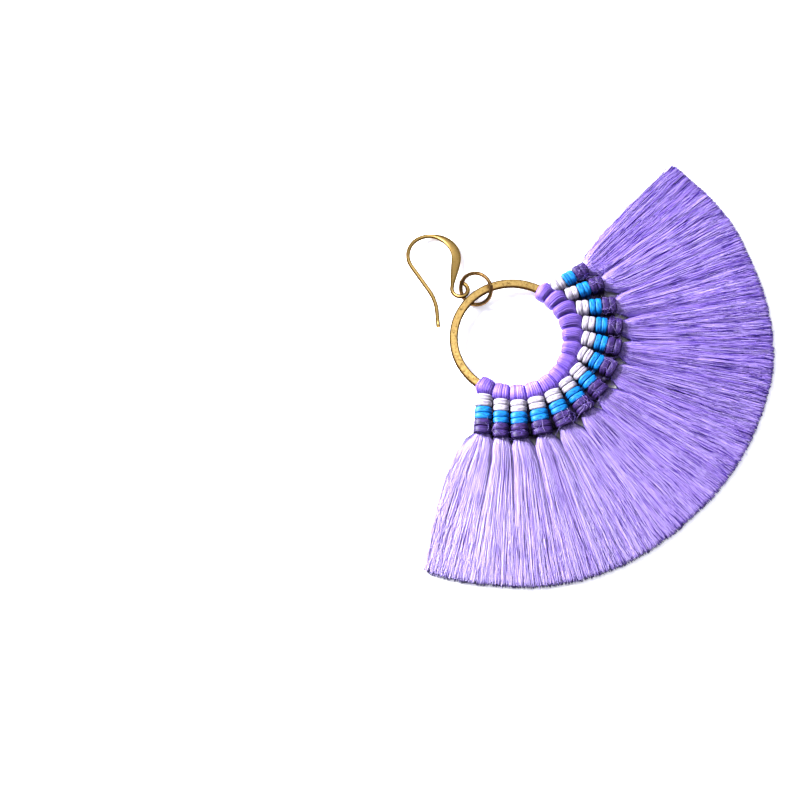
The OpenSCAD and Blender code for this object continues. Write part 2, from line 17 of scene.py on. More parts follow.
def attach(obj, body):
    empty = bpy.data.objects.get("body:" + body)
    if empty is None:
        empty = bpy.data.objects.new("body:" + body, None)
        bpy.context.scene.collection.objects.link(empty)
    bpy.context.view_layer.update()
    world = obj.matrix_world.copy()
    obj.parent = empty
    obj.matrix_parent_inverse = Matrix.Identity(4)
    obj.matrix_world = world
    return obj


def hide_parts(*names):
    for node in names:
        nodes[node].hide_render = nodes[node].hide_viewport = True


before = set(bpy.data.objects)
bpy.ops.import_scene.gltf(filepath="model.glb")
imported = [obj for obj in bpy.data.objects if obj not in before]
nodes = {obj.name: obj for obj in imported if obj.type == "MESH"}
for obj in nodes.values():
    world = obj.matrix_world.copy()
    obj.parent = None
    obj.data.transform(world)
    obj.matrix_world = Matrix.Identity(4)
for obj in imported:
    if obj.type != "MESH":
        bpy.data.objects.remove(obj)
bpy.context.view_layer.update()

# %% [markdown]
# The camera
#
# The photograph looks down steeply, at about 71 degrees above the table, and
# from the side of the fan's left end. A lens of 85 mm from less than half a
# metre gives the same slight perspective. The aim point is where the middle of
# the photograph meets the table.

# %% Camera
MM = 0.001
CAMERA_AZIMUTH = math.radians(-59.1)
CAMERA_ELEVATION = math.radians(71.0)
CAMERA_DISTANCE = 0.441
AIM = Vector((-27.37, 28.41, 2.0)) * MM

look_from = Vector((
    math.sin(CAMERA_AZIMUTH) * math.cos(CAMERA_ELEVATION),
    -math.cos(CAMERA_AZIMUTH) * math.cos(CAMERA_ELEVATION),
    math.sin(CAMERA_ELEVATION),
))
camera_data = bpy.data.cameras.new("camera")
camera_data.lens = 85
camera = bpy.data.objects.new("camera", camera_data)
camera.location = AIM + look_from * CAMERA_DISTANCE
camera.rotation_mode = "QUATERNION"
camera.rotation_quaternion = (-look_from).to_track_quat("-Z", "Y")
camera_data.clip_start = 0.01
bpy.context.collection.objects.link(camera)
bpy.context.scene.camera = camera
bpy.context.scene.view_settings.view_transform = "Standard"
print("camera at, mm:", [round(c / MM, 1) for c in camera.location])

# %% [markdown]
# Sizes that the pieces share
#
# The hoop, the thirteen bundles and the rows of knots all fit each other, so
# their lengths and angles are written once here, in millimetres and degrees.
# The bundles were tied by hand. Each has its own reach, turn and slack, read
# from the photograph, and everything else follows from a few spreads.

# %% Shared sizes
HOOP_MIDDLE = np.array([-0.498, 13.412])
# The hoop is a flat band: radius of its middle line, half of its width and of its thickness
BAND_R = 14.0
BAND_HALF_W = 1.0
BAND_HALF_T = 0.6
# The hoop's and the bundles' middle plane above the table
MIDDLE_HEIGHT = 2.0
# The angles that all the bundles take up: on the hoop, at their necks, and at the fan's edge
WRAP_SPREAD = 176.0
NECK_SPREAD = 151.0
FAN_SPREAD = 159.0
# The bundles in the middle sit further round the hoop by this share of a step
WRAP_SHIFT = 0.38
NECK_R = 25.5
FRINGE_LENGTH = 35.6
# Half of the thickness of a bundle's tight middle
CORE_HALF_T = 0.45
# A row for each bundle, from the fan's right end: reach, the neck's turn, and slack
BUNDLES = [
    (0.990, -0.02, 0.20), (0.990, 0.08, 0.80), (0.975, -0.04, 1.00), (0.985, -0.07, 1.00),
    (1.000, -0.04, 0.50), (0.975, -0.08, 0.20), (0.960, -0.26, 0.10), (0.945, -0.30, 0.00),
    (0.955, -0.41, 0.00), (0.965, -0.48, 0.00), (0.965, -0.50, 0.00), (0.955, -0.30, 0.00),
    (0.965, -0.06, 0.00),
]
COUNT = len(BUNDLES)
MIDDLE = (COUNT - 1) / 2
print("bundles:", COUNT, "quick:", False)

# %% [markdown]
# Places on a bundle
#
# A bundle sits at one angle on the hoop and at a smaller one at its neck, so
# the outer bundles lean. Each piece could keep its own list of points, but then
# a change to one would part it from the others. So all the pieces ask these few
# functions for a place on a bundle's line, or for the border to the next one.


# %% Places on a bundle
def radial(degrees):
    """The unit vector at an angle round the hoop, from +X."""
    a = np.radians(degrees)
    return np.stack([np.cos(a), np.sin(a)], axis=-1)


def wrap_angle(i):
    """The angle of bundle i on the hoop."""
    off = MIDDLE - i
    return -90 + (off + WRAP_SHIFT * (1 - (off / MIDDLE) ** 2)) * WRAP_SPREAD / (COUNT - 1)


def neck_angle(i):
    """The angle of bundle i where it leaves the knots."""
    return -90 + (MIDDLE - i + BUNDLES[i][1]) * NECK_SPREAD / (COUNT - 1)


def heading(i):
    """Which way bundle i runs, from the hoop to its neck."""
    way = NECK_R * radial(neck_angle(i)) - BAND_R * radial(wrap_angle(i))
    return way / np.linalg.norm(way)


def crosswise(way):
    """The direction a quarter turn to the left of another."""
    return np.stack([-way[..., 1], way[..., 0]], axis=-1)


def on_bundle(i, r, slack=True):
    """The place on bundle i's line that is r from the hoop's middle, and its slack more."""
    start = BAND_R * radial(wrap_angle(i))
    lead = start @ heading(i)
    far = np.asarray(r, float) + (BUNDLES[i][2] if slack else 0.0)
    run = np.sqrt(lead**2 - BAND_R**2 + far**2) - lead
    return start + heading(i) * np.asarray(run)[..., None]


def head_side(i, side):
    """The angle on the hoop halfway from bundle i to a neighbour."""
    return wrap_angle(i - side / 2)


def fan_side(i, side):
    """The angle of the border between bundle i's fringe and a neighbour's."""
    n = i if side > 0 else i + 1
    turn = 0.0 if n in (0, COUNT) else (BUNDLES[n - 1][1] + BUNDLES[n][1]) / 2
    return -90 + (COUNT / 2 - n + turn) * FAN_SPREAD / COUNT


leans = [math.degrees(math.atan2(*heading(i)[::-1])) for i in (0, COUNT - 1)]
print("first and last bundle lean, degrees:", [round(lean, 1) for lean in leans])

# %% [markdown]
# Rows of knots
#
# Three rows of knots sit one outside the other, each in its own cord. Where two
# neighbouring knots almost touch, the cord leaves little room for the threads
# inside, so the bundles' tight middles get their width from the knots. This
# is worked out and not measured, so that no knot grows into the next one.

# %% Rows of knots
# Each row's radius, and the thickness of its cord
ROWS = {"white_cord": (17.25, 1.3), "blue_cord": (20.2, 1.25), "purple_cord": (23.35, 1.5)}
# Gaps between the two ribs of a knot, between neighbouring knots, and from cord to bundle
RIB_GAP, KNOT_GAP, GRIP = 0.2, 0.08, 0.05


def knot_room(a, b, r, d):
    """Width that two neighbouring knots leave for the bundles inside them."""
    inner = r - (d + RIB_GAP) / 2
    way = heading(a) + heading(b)
    step = on_bundle(b, inner) - on_bundle(a, inner)
    return abs(float(step @ crosswise(way / np.linalg.norm(way)))) - KNOT_GAP - 2 * (d + GRIP)


ROOMS = [min(knot_room(i, i + 1, *row) for row in ROWS.values()) for i in range(COUNT - 1)]
CORE_WIDTHS = [min(ROOMS[max(0, i - 1)], ROOMS[min(i, COUNT - 2)]) for i in range(COUNT)]


def knot_half_width(i, d=ROWS["white_cord"][1]):
    """Half of a knot's width on bundle i, out to the cord's outer side."""
    return CORE_WIDTHS[i] / 2 + GRIP + d


print("core widths, mm:", [round(c, 3) for c in CORE_WIDTHS])

# %% [markdown]
# Helpers for meshes
#
# Most forms here are grids: rows of points that run the same way. One helper
# turns a grid into faces, another gives an object its mesh, material and the
# smooth shading that thread and wire need. Points come in millimetres and
# leave in metres, and every object stays at the origin.


# %% Mesh helpers
def grid_faces(rows, columns, first=0, closed_rows=False, closed_columns=False):
    """Faces over a grid of points that are numbered a row at a time."""
    faces = []
    for j in range(rows if closed_rows else rows - 1):
        for k in range(columns if closed_columns else columns - 1):
            a, b = j * columns, (j + 1) % rows * columns
            right = (k + 1) % columns
            faces.append((first + a + k, first + a + right, first + b + right, first + b + k))
    return faces


def tube_faces(rings, sides):
    """A closed tube over rings of points, with an end face at each end."""
    faces = grid_faces(rings, sides, closed_columns=True)
    faces.append(tuple(reversed(range(sides))))
    faces.append(tuple(range((rings - 1) * sides, rings * sides)))
    return faces


def add_piece(name, points, faces, material):
    """A smooth mesh object from points in millimetres."""
    mesh = bpy.data.meshes.new(name)
    mesh.from_pydata([tuple(p) for p in np.asarray(points) * MM], [], faces)
    mesh.polygons.foreach_set("use_smooth", [True] * len(mesh.polygons))
    mesh.materials.append(material)
    mesh.update()
    piece = bpy.data.objects.new(name, mesh)
    bpy.context.collection.objects.link(piece)
    return piece


def give_numbers(piece, name, values):
    """Stores one number a point, for a material to read."""
    store = piece.data.attributes.new(name, "FLOAT", "POINT")
    store.data.foreach_set("value", np.asarray(values, np.float32))


def triangles(piece):
    """How many triangles a piece has."""
    piece.data.calc_loop_triangles()
    return len(piece.data.loop_triangles)


# %% [markdown]
# Wiring nodes by name
#
# Materials and Geometry Nodes are both trees of nodes. A small class keeps the
# wiring short: it adds a node, sets what is a plain value, links what comes
# from another node, and does sums. An effect that several materials share is a
# group with inputs and outputs of its own, so one more helper starts a group.


# %% Node wiring
class Wiring:
    """Adds and links nodes in one tree."""

    def __init__(self, tree):
        self.tree = tree

    def add(self, kind, inputs=None, **settings):
        """A new node with these settings, and its inputs set or linked."""
        node = self.tree.nodes.new(kind)
        for key, value in settings.items():
            setattr(node, key, value)
        for key, value in (inputs or {}).items():
            self.put(node.inputs[key], value)
        return node

    def put(self, socket, value):
        """Links another node's output to this input, or sets a plain value."""
        if isinstance(value, bpy.types.NodeSocket):
            self.tree.links.new(value, socket)
        else:
            socket.default_value = value

    def sum(self, operation, *values, **settings):
        """The result of one Math node."""
        inputs = dict(enumerate(values))
        return self.add("ShaderNodeMath", inputs, operation=operation, **settings).outputs[0]

    def remap(self, value, low, high, to_low=0.0, to_high=1.0):
        """The value's way from low to high, as a way from to_low to to_high."""
        keys = ("Value", "From Min", "From Max", "To Min", "To Max")
        inputs = dict(zip(keys, (value, low, high, to_low, to_high)))
        return self.add("ShaderNodeMapRange", inputs).outputs[0]

    def blend(self, share, a, b):
        """A colour between a and b."""
        node = self.add("ShaderNodeMix", data_type="RGBA")
        self.put(node.inputs[0], share)
        self.put(node.inputs[6], a)
        self.put(node.inputs[7], b)
        return node.outputs[2]

    def attribute(self, name):
        """A number that the points of the mesh carry."""
        return self.add("ShaderNodeAttribute", attribute_name=name).outputs["Fac"]


def new_material(name):
    """A material with one Principled BSDF, and the wiring for it."""
    material = bpy.data.materials.new(name)
    material.use_nodes = True
    shader = material.node_tree.nodes["Principled BSDF"]
    return material, Wiring(material.node_tree), shader


def new_group(name, inputs, outputs):
    """A shader node group with named sockets, the wiring for it, and what it is given."""
    group = bpy.data.node_groups.new(name, "ShaderNodeTree")
    for key, value in inputs.items():
        kind = "NodeSocketColor" if isinstance(value, tuple) else "NodeSocketFloat"
        group.interface.new_socket(key, in_out="INPUT", socket_type=kind).default_value = value
    for key, kind in outputs.items():
        group.interface.new_socket(key, in_out="OUTPUT", socket_type=kind)
    w = Wiring(group)
    return group, w, w.add("NodeGroupInput").outputs


# %% [markdown]
# Thread colour
#
# Silky thread isn't one colour. Each thread catches the light a little
# differently, and whole locks are paler or deeper. Painted shade of a darker
# violet lies on the cut ends, in the cracks between locks, on the lower threads
# and under the necks, and a painted sheen makes the fan's left end paler. One
# noise over everything would give blotches in which no single thread stands
# out. So each thread carries a few random numbers, and one group of nodes turns
# them into colour. The fringe and the turns round the hoop both use it, with
# their own colours and depth.

# %% Thread colour
PALE = (0.53, 0.42, 0.86, 1)
LAVENDER = (0.305, 0.185, 0.65, 1)
DEEP_LAVENDER = (0.19, 0.11, 0.56, 1)
VIOLET = (0.07, 0.018, 0.40, 1)
SHADE = (0.014, 0.006, 0.05, 1)
# The fan's left end catches the low lamp's sheen, and a painted sheen adds to it
# from the first of these angles on, in full at the second
PAINTED_SHEEN_START, PAINTED_SHEEN_END = -95.0, -140.0


def from_hoop_middle(w):
    """The place on an object, counted from the hoop's middle."""
    place = w.add("ShaderNodeTexCoord").outputs["Object"]
    middle = (*(HOOP_MIDDLE * MM), 0.0)
    return w.add("ShaderNodeVectorMath", {0: place, 1: middle}, operation="SUBTRACT").outputs[0]


def length_of(w, vector):
    """The length of a vector."""
    return w.add("ShaderNodeVectorMath", {0: vector}, operation="LENGTH").outputs["Value"]


def add_streaks(w):
    """Cracks between locks, a finer grain, and 1 where a sheen is painted on the fan's left end."""
    out = from_hoop_middle(w)
    x, y, _ = w.add("ShaderNodeSeparateXYZ", {0: out}).outputs
    bend = w.add("ShaderNodeTexNoise", {"Vector": out, "Scale": 90.0, "Detail": 1.0}).outputs[0]
    turn = w.sum("ARCTAN2", y, x)
    angle = w.sum("MULTIPLY_ADD", bend, 0.045, turn)
    reach = length_of(w, out)

    def streaks(across, along):
        """Noise drawn out along the threads, as fine as these two numbers say."""
        spread = {"X": w.sum("MULTIPLY", angle, across), "Y": w.sum("MULTIPLY", reach, along)}
        place = w.add("ShaderNodeCombineXYZ", spread).outputs[0]
        inputs = {"Vector": place, "Scale": 1.0, "Detail": 1.5}
        return w.add("ShaderNodeTexNoise", inputs, noise_dimensions="2D").outputs[0]

    # Painted sheen: 1 over the fan's left end, by the angle round the hoop
    painted_sheen = w.remap(turn, math.radians(PAINTED_SHEEN_START), math.radians(PAINTED_SHEEN_END))
    return streaks(230.0, 110.0), streaks(620.0, 260.0), painted_sheen


def make_silk_group():
    """The colour of silky thread with its painted shade and sheen, and 1 where threads part and shade is
    painted.
    """
    group, w, given = new_group(
        "silky_thread",
        {"Pale": PALE, "Body": LAVENDER, "Depth": 1.0},
        {"Colour": "NodeSocketColor", "CrackShade": "NodeSocketFloat"},
    )
    depth = given["Depth"]

    def deeper(share):
        """A share of the depth."""
        return w.sum("MULTIPLY", depth, share)

    tone, lock, along, layer = (w.attribute(key) for key in ("tone", "lock", "along", "layer"))
    crack, grain, painted_sheen = add_streaks(w)
    painted_sheen = w.sum("MULTIPLY", painted_sheen, depth)
    # The painted sheen makes the fan's left end paler, and its cracks and grain fainter
    calm = w.sum("SUBTRACT", 1.0, w.sum("MULTIPLY", painted_sheen, 0.5))
    mixed = w.sum("ADD", w.sum("MULTIPLY", tone, 0.65), w.sum("MULTIPLY", lock, 0.35))
    mixed = w.sum("ADD", mixed, w.sum("MULTIPLY", painted_sheen, 0.2))
    # Paler and deeper threads, and painted shade on the lower ones
    palest = w.sum("MULTIPLY_ADD", depth, 0.7, 0.3)
    colour = w.blend(w.remap(mixed, 0.3, 0.9, 0.0, palest), given["Body"], given["Pale"])
    colour = w.blend(w.remap(mixed, 0.3, 0.05, 0.0, 0.4), colour, VIOLET)
    colour = w.blend(w.remap(layer, 0.72, 0.4, 0.0, deeper(0.9)), colour, VIOLET)
    # Grain, and painted shade in the cracks between locks
    fine = w.sum("MULTIPLY", w.remap(grain, 0.5, 0.66, 0.0, deeper(0.5)), calm)
    colour = w.blend(fine, colour, VIOLET)
    crack_shade = w.sum("MULTIPLY", w.remap(crack, 0.545, 0.645, 0.0, depth), calm)
    colour = w.blend(w.sum("MULTIPLY", crack_shade, 0.85), colour, VIOLET)
    colour = w.blend(w.remap(crack, 0.64, 0.74, 0.0, deeper(0.6)), colour, SHADE)
    # Painted shade on the cut ends, and painted shade under the necks
    ends = w.sum("MULTIPLY", w.remap(along, 0.97, 0.985), w.remap(layer, 0.95, 0.6, 0.0, depth))
    colour = w.blend(w.sum("MULTIPLY", ends, 0.95), colour, VIOLET)
    colour = w.blend(w.sum("MULTIPLY", ends, w.remap(painted_sheen, 0.0, 1.0, 0.3, 0.8)), colour, SHADE)
    under = w.sum("MULTIPLY", w.remap(layer, 0.55, 0.2, 0.0, depth), w.remap(along, 0.24, 0.06))
    colour = w.blend(under, colour, SHADE)
    w.add("NodeGroupOutput", {"Colour": colour, "CrackShade": crack_shade})
    return group


silk = make_silk_group()
print("silky thread group:", len(silk.nodes), "nodes")

# %% [markdown]
# Thread as a material
#
# Silk has a sheen that runs over a whole bundle at one height. An anisotropic
# shader can give that on a smooth form. The threads are real, thin tubes here,
# so plain gloss on each of them already does, and on the fan's left end a
# painted sheen in the colour adds to it. The material is a little metallic, as
# satin looks. Where threads part it is rougher and nearly all metallic, which
# keeps the painted shade in the cracks dark.


# %% Thread material
def make_thread(name, pale, body, depth, roughness, shine):
    """Thread whose lower layers are painted deeper in colour, as shade, by the share depth."""
    material, w, shader = new_material(name)
    inputs = {"Pale": pale, "Body": body, "Depth": depth}
    colour, crack_shade = w.add("ShaderNodeGroup", inputs, node_tree=silk).outputs
    w.put(shader.inputs["Base Color"], colour)
    w.put(shader.inputs["Roughness"], w.remap(crack_shade, 0.0, 1.0, roughness, 0.7))
    w.put(shader.inputs["Metallic"], w.remap(crack_shade, 0.0, 1.0, 0.25, 0.9))
    shader.inputs["IOR"].default_value = 1.75
    shader.inputs["Specular IOR Level"].default_value = shine
    shader.inputs["Specular Tint"].default_value = (0.84, 0.86, 0.96, 1)
    return material


thread = make_thread("lavender_thread", PALE, LAVENDER, 1.0, 0.42, 1.0)
wrapped_thread = make_thread("wrapped_thread", LAVENDER, DEEP_LAVENDER, 0.45, 0.5, 0.3)
print("thread materials:", thread.name, wrapped_thread.name)

# %% [markdown]
# A tree that lays threads
#
# Every soft part of this earring is a lot of threads that follow a form. Hair
# particles could lay them too, but a tree has named inputs and ends in a plain
# mesh. The form is two sheets, the front and the back of a bundle, with a UV
# map over each. The tree makes one straight curve a thread, gives it a random
# place across the bundle and between the sheets, and then moves its points onto
# the sheets with Sample UV Surface. Threads gather into locks towards their
# tips and wander a little. The form can change without touching the tree, and
# one tree lays the fringe, the turns round the hoop and the loose fibres alike.

# %% Where threads lie
# The sheets reach past the bundle's sides and end, so that stray threads have a place too
SHEET_REACH = 1.45
SHEET_LENGTH = 1.08
# On the UV map the two sheets lie side by side
FRONT_U, BACK_U, SHEET_U = 0.02, 0.52, 0.46


class ThreadWiring(Wiring):
    """Wiring for the tree, with random numbers that can be stored on the points."""

    def __init__(self, tree):
        super().__init__(tree)
        self.given = self.add("NodeGroupInput").outputs

    def chance(self, low, high, offset, key=None):
        """A random number for each point, or for each value of the key."""
        node = self.add("FunctionNodeRandomValue", data_type="FLOAT")
        self.put(node.inputs[2], low)
        self.put(node.inputs[3], high)
        if key is not None:
            self.put(node.inputs["ID"], key)
        self.put(node.inputs["Seed"], self.sum("ADD", self.given["Seed"], offset))
        return node.outputs[1]

    def keep(self, geometry, name, value):
        """The geometry, with a number stored on its points."""
        inputs = {"Geometry": geometry, "Name": name}
        node = self.add("GeometryNodeStoreNamedAttribute", inputs, data_type="FLOAT", domain="POINT")
        self.put(node.inputs["Value"], value)
        return node.outputs[0]

    def kept(self, name):
        """A number that was stored before."""
        node = self.add("GeometryNodeInputNamedAttribute", {"Name": name}, data_type="FLOAT")
        return node.outputs[0]

    def drift(self, value, scale, offset):
        """A number near 0 that changes slowly with a value."""
        place = self.sum("ADD", self.sum("MULTIPLY", value, scale), offset)
        inputs = {"W": place, "Scale": 1.0, "Detail": 1.0}
        noise = self.add("ShaderNodeTexNoise", inputs, noise_dimensions="1D")
        return self.sum("SUBTRACT", noise.outputs[0], 0.5)


def start_threads(w):
    """One straight curve a thread, with random numbers of its own."""
    given = w.given
    starts = w.add("GeometryNodePoints", {"Count": given["Threads"]}).outputs[0]
    starts = w.keep(starts, "side", w.sum("MULTIPLY", w.chance(-1.0, 1.0, 0), given["Spread"]))
    starts = w.keep(starts, "layer", w.chance(0.0, 1.0, 1))
    starts = w.keep(starts, "tone", w.chance(0.0, 1.0, 2))
    stray = w.sum("MULTIPLY", w.sum("POWER", w.chance(0.0, 1.0, 4), 14.0), given["Stray"])
    starts = w.keep(starts, "stray", stray)
    starts = w.keep(starts, "uneven", w.sum("MULTIPLY", w.chance(-1.0, 1.0, 3), given["Uneven"]))
    straight = w.add("GeometryNodeCurvePrimitiveLine").outputs[0]
    inputs = {"Curve": straight, "Count": given["Points"]}
    straight = w.add("GeometryNodeResampleCurve", inputs).outputs[0]
    threads = w.add("GeometryNodeInstanceOnPoints", {"Points": starts, "Instance": straight}).outputs[0]
    return w.add("GeometryNodeRealizeInstances", {"Geometry": threads}).outputs[0]


def gather(w, along, side, layer, tone):
    """Each thread's lock, the lock's pull on it, and its place across once it is pulled."""
    locks = w.given["Locks"]
    share = w.sum("ADD", w.sum("MULTIPLY", side, 0.5), 0.5)
    lock = w.sum("FLOOR", w.sum("ADD", w.sum("MULTIPLY", share, locks), w.sum("MULTIPLY", tone, 0.5)))
    lock_middle = w.sum("DIVIDE", w.sum("ADD", lock, w.chance(0.1, 0.5, 5, lock)), locks)
    lock_side = w.sum("SUBTRACT", w.sum("MULTIPLY", lock_middle, 2.0), 1.0)
    pull = w.sum("MULTIPLY", w.given["Gathering"], w.sum("POWER", along, w.given["Onset"]))
    pull = w.sum("MULTIPLY", pull, w.remap(layer, 0.5, 0.7))
    gathered = w.sum("MULTIPLY_ADD", w.sum("SUBTRACT", lock_side, side), pull, side)
    return lock, pull, gathered


def wander(w, along, layer, tone, lock, pull, gathered):
    """Each point's place across the sheets, down them, and from the back one to the front one."""
    own = w.sum("ADD", w.sum("MULTIPLY", tone, 71.0), w.sum("MULTIPLY", layer, 53.0))
    freedom = w.sum("ADD", 2.0, w.sum("MULTIPLY", w.kept("stray"), 2.0))
    freedom = w.sum("MULTIPLY", w.sum("MULTIPLY", w.given["Wander"], along), freedom)
    across = w.sum("MULTIPLY_ADD", w.drift(along, 2.4, own), freedom, gathered)
    rise = w.drift(along, 1.3, w.sum("ADD", own, 31.7))
    lift = w.sum("MULTIPLY_ADD", rise, w.sum("MULTIPLY", along, 0.7), layer)
    lift = w.sum("MULTIPLY_ADD", w.chance(-0.3, 0.15, 8, lock), w.sum("MULTIPLY", pull, 1.5), lift)
    lift = w.sum("ADD", lift, w.given["Lift"])
    # The cut is a little uneven, and its lower threads stand out
    reach = w.sum("ADD", 1.0, w.sum("ADD", w.kept("uneven"), w.chance(-0.003, 0.003, 6, lock)))
    reach = w.sum("MULTIPLY_ADD", w.sum("SUBTRACT", 1.0, layer), w.given["Lip"], reach)
    down = w.sum("DIVIDE", w.sum("MULTIPLY", along, reach), SHEET_LENGTH)
    over = w.sum("ADD", w.sum("MULTIPLY", across, 0.5 / SHEET_REACH), 0.5, use_clamp=True)
    return over, down, w.sum("MINIMUM", w.sum("MAXIMUM", lift, 0.0), 1.0)


print("sheets reach", SHEET_REACH, "of a bundle's half width and", SHEET_LENGTH, "of its length")

# %% [markdown]
# From curves to a mesh
#
# The tree's last part looks up every point on the two sheets, blends the two
# places, and sweeps a triangle along each curve. Round threads would have more
# sides, but at the width of a hair nobody sees them, and a fringe has fifty
# thousand triangles as it is.

# %% Thread tree
TREE_INPUTS = (
    ("Form", "Geometry"), ("Threads", "Int"), ("Points", "Int"), ("Radius", "Float"),
    ("Locks", "Float"), ("Gathering", "Float"), ("Onset", "Float"), ("Wander", "Float"),
    ("Stray", "Float"), ("Spread", "Float"), ("Uneven", "Float"), ("Lip", "Float"),
    ("Taper", "Float"), ("Crowding", "Float"), ("Lift", "Float"), ("Seed", "Int"),
    ("Material", "Material"),
)


def on_sheet(w, first, over, down):
    """The point's place on the sheet whose UV map starts at first."""
    inputs = {"X": w.sum("MULTIPLY_ADD", over, SHEET_U, first), "Y": down}
    uv = w.add("ShaderNodeCombineXYZ", inputs).outputs[0]
    node = w.add("GeometryNodeSampleUVSurface", data_type="FLOAT_VECTOR")
    uv_map = w.add("GeometryNodeInputNamedAttribute", {"Name": "sheet"}, data_type="FLOAT_VECTOR")
    position = w.add("GeometryNodeInputPosition")
    for n, value in enumerate((w.given["Form"], position.outputs[0], uv_map.outputs[0], uv)):
        w.put(node.inputs[n], value)
    return node.outputs[0]


def sweep(w, threads, along):
    """A mesh along the curves, thinner towards their ends."""
    thin = w.sum("SUBTRACT", 1.0, w.sum("MULTIPLY", w.given["Taper"], along))
    threads = w.add("GeometryNodeSetCurveRadius", {"Curve": threads, "Radius": thin}).outputs[0]
    inputs = {"Resolution": 3, "Radius": w.given["Radius"]}
    outline = w.add("GeometryNodeCurvePrimitiveCircle", inputs).outputs[0]
    inputs = {"Curve": threads, "Profile Curve": outline, "Fill Caps": True}
    mesh = w.add("GeometryNodeCurveToMesh", inputs)
    if "Scale" in mesh.inputs:
        w.put(mesh.inputs["Scale"], thin)
    return w.add("GeometryNodeSetShadeSmooth", {0: mesh.outputs[0]}).outputs[0]


def make_thread_tree():
    """The Geometry Nodes tree, which lays threads between two sheets."""
    tree = bpy.data.node_groups.new("lay_threads", "GeometryNodeTree")
    for name, kind in TREE_INPUTS:
        tree.interface.new_socket(name, in_out="INPUT", socket_type="NodeSocket" + kind)
    tree.interface.new_socket("Mesh", in_out="OUTPUT", socket_type="NodeSocketGeometry")
    w = ThreadWiring(tree)
    threads = start_threads(w)
    factor = w.add("GeometryNodeSplineParameter").outputs["Factor"]
    along = w.sum("POWER", factor, w.given["Crowding"])
    side, layer, tone = w.kept("side"), w.kept("layer"), w.kept("tone")
    lock, pull, gathered = gather(w, along, side, layer, tone)
    over, down, lift = wander(w, along, layer, tone, lock, pull, gathered)
    place = w.add("ShaderNodeMix", data_type="VECTOR")
    w.put(place.inputs[0], lift)
    w.put(place.inputs[4], on_sheet(w, BACK_U, over, down))
    w.put(place.inputs[5], on_sheet(w, FRONT_U, over, down))
    inputs = {"Geometry": threads, "Position": place.outputs[1]}
    threads = w.add("GeometryNodeSetPosition", inputs).outputs[0]
    threads = w.keep(threads, "along", along)
    threads = w.keep(threads, "lock", w.chance(0.0, 1.0, 7, lock))
    mesh = sweep(w, threads, along)
    mesh = w.add("GeometryNodeRealizeInstances", {"Geometry": mesh}).outputs[0]
    inputs = {"Geometry": mesh, "Material": w.given["Material"]}
    mesh = w.add("GeometryNodeSetMaterial", inputs).outputs[0]
    w.add("NodeGroupOutput", {"Mesh": mesh})
    return tree


thread_tree = make_thread_tree()
print("thread tree:", len(thread_tree.nodes), "nodes,", len(TREE_INPUTS), "inputs")

# %% [markdown]
# Running the tree on a form
#
# A form is a plain mesh of two sheets, made from grids of points. The tree is
# put on it as a modifier, its inputs are set, and the result is kept as a mesh
# of its own. The form is then no longer needed and goes away with its modifier.


# %% Threads on a form
def add_form(front, back, lengthwise=None):
    """The two sheets that threads follow: grids of points, rows along and columns across."""
    rows, columns = front.shape[:2]
    points = np.concatenate([front.reshape(-1, 3), back.reshape(-1, 3)])
    faces = grid_faces(rows, columns) + grid_faces(rows, columns, rows * columns)
    mesh = bpy.data.meshes.new("form")
    mesh.from_pydata([tuple(p) for p in points * MM], [], faces)
    if lengthwise is None:
        lengthwise = np.linspace(0, 1, rows)
    across, along = np.meshgrid(np.linspace(0, 1, columns), lengthwise)
    front_uv = np.stack([FRONT_U + SHEET_U * across, along], -1).reshape(-1, 2)
    uv = np.concatenate([front_uv, front_uv + [BACK_U - FRONT_U, 0.0]])
    layer = mesh.uv_layers.new(name="sheet")
    corners = np.zeros(len(mesh.loops), np.int32)
    mesh.loops.foreach_get("vertex_index", corners)
    layer.data.foreach_set("uv", uv[corners].astype(np.float32).ravel())
    form = bpy.data.objects.new("form", mesh)
    bpy.context.collection.objects.link(form)
    return form


def lay_threads(name, form, material, **sizes):
    """Runs the tree on a form and keeps the result as a plain mesh."""
    modifier = form.modifiers.new("threads", "NODES")
    modifier.node_group = thread_tree
    values = {
        "Points": 8, "Locks": 1.0, "Gathering": 0.0, "Onset": 1.0, "Wander": 0.0, "Stray": 0.0,
        "Spread": 1.0, "Uneven": 0.0, "Lip": 0.0, "Taper": 0.0, "Crowding": 1.0, "Lift": 0.0,
        "Material": material, **sizes,
    }
    for socket in thread_tree.interface.items_tree:
        if socket.in_out == "INPUT" and socket.name in values:
            modifier[socket.identifier] = values[socket.name]
    graph = bpy.context.evaluated_depsgraph_get()
    mesh = bpy.data.meshes.new_from_object(form.evaluated_get(graph))
    mesh.name = name
    bpy.data.objects.remove(form)
    piece = bpy.data.objects.new(name, mesh)
    bpy.context.collection.objects.link(piece)
    return piece


# %% [markdown]
# The fringe
#
# Past the knots each bundle springs out like a brush: as wide as its knot,
# rounded, and standing at the height of the hoop. It then spreads until it
# meets its neighbours, sinks to the table and ends in a straight cut. Locks
# modelled one by one would be hard to fit to each other. Two sheets a bundle,
# worked out from a few rows of sizes, share their borders with the next ones.

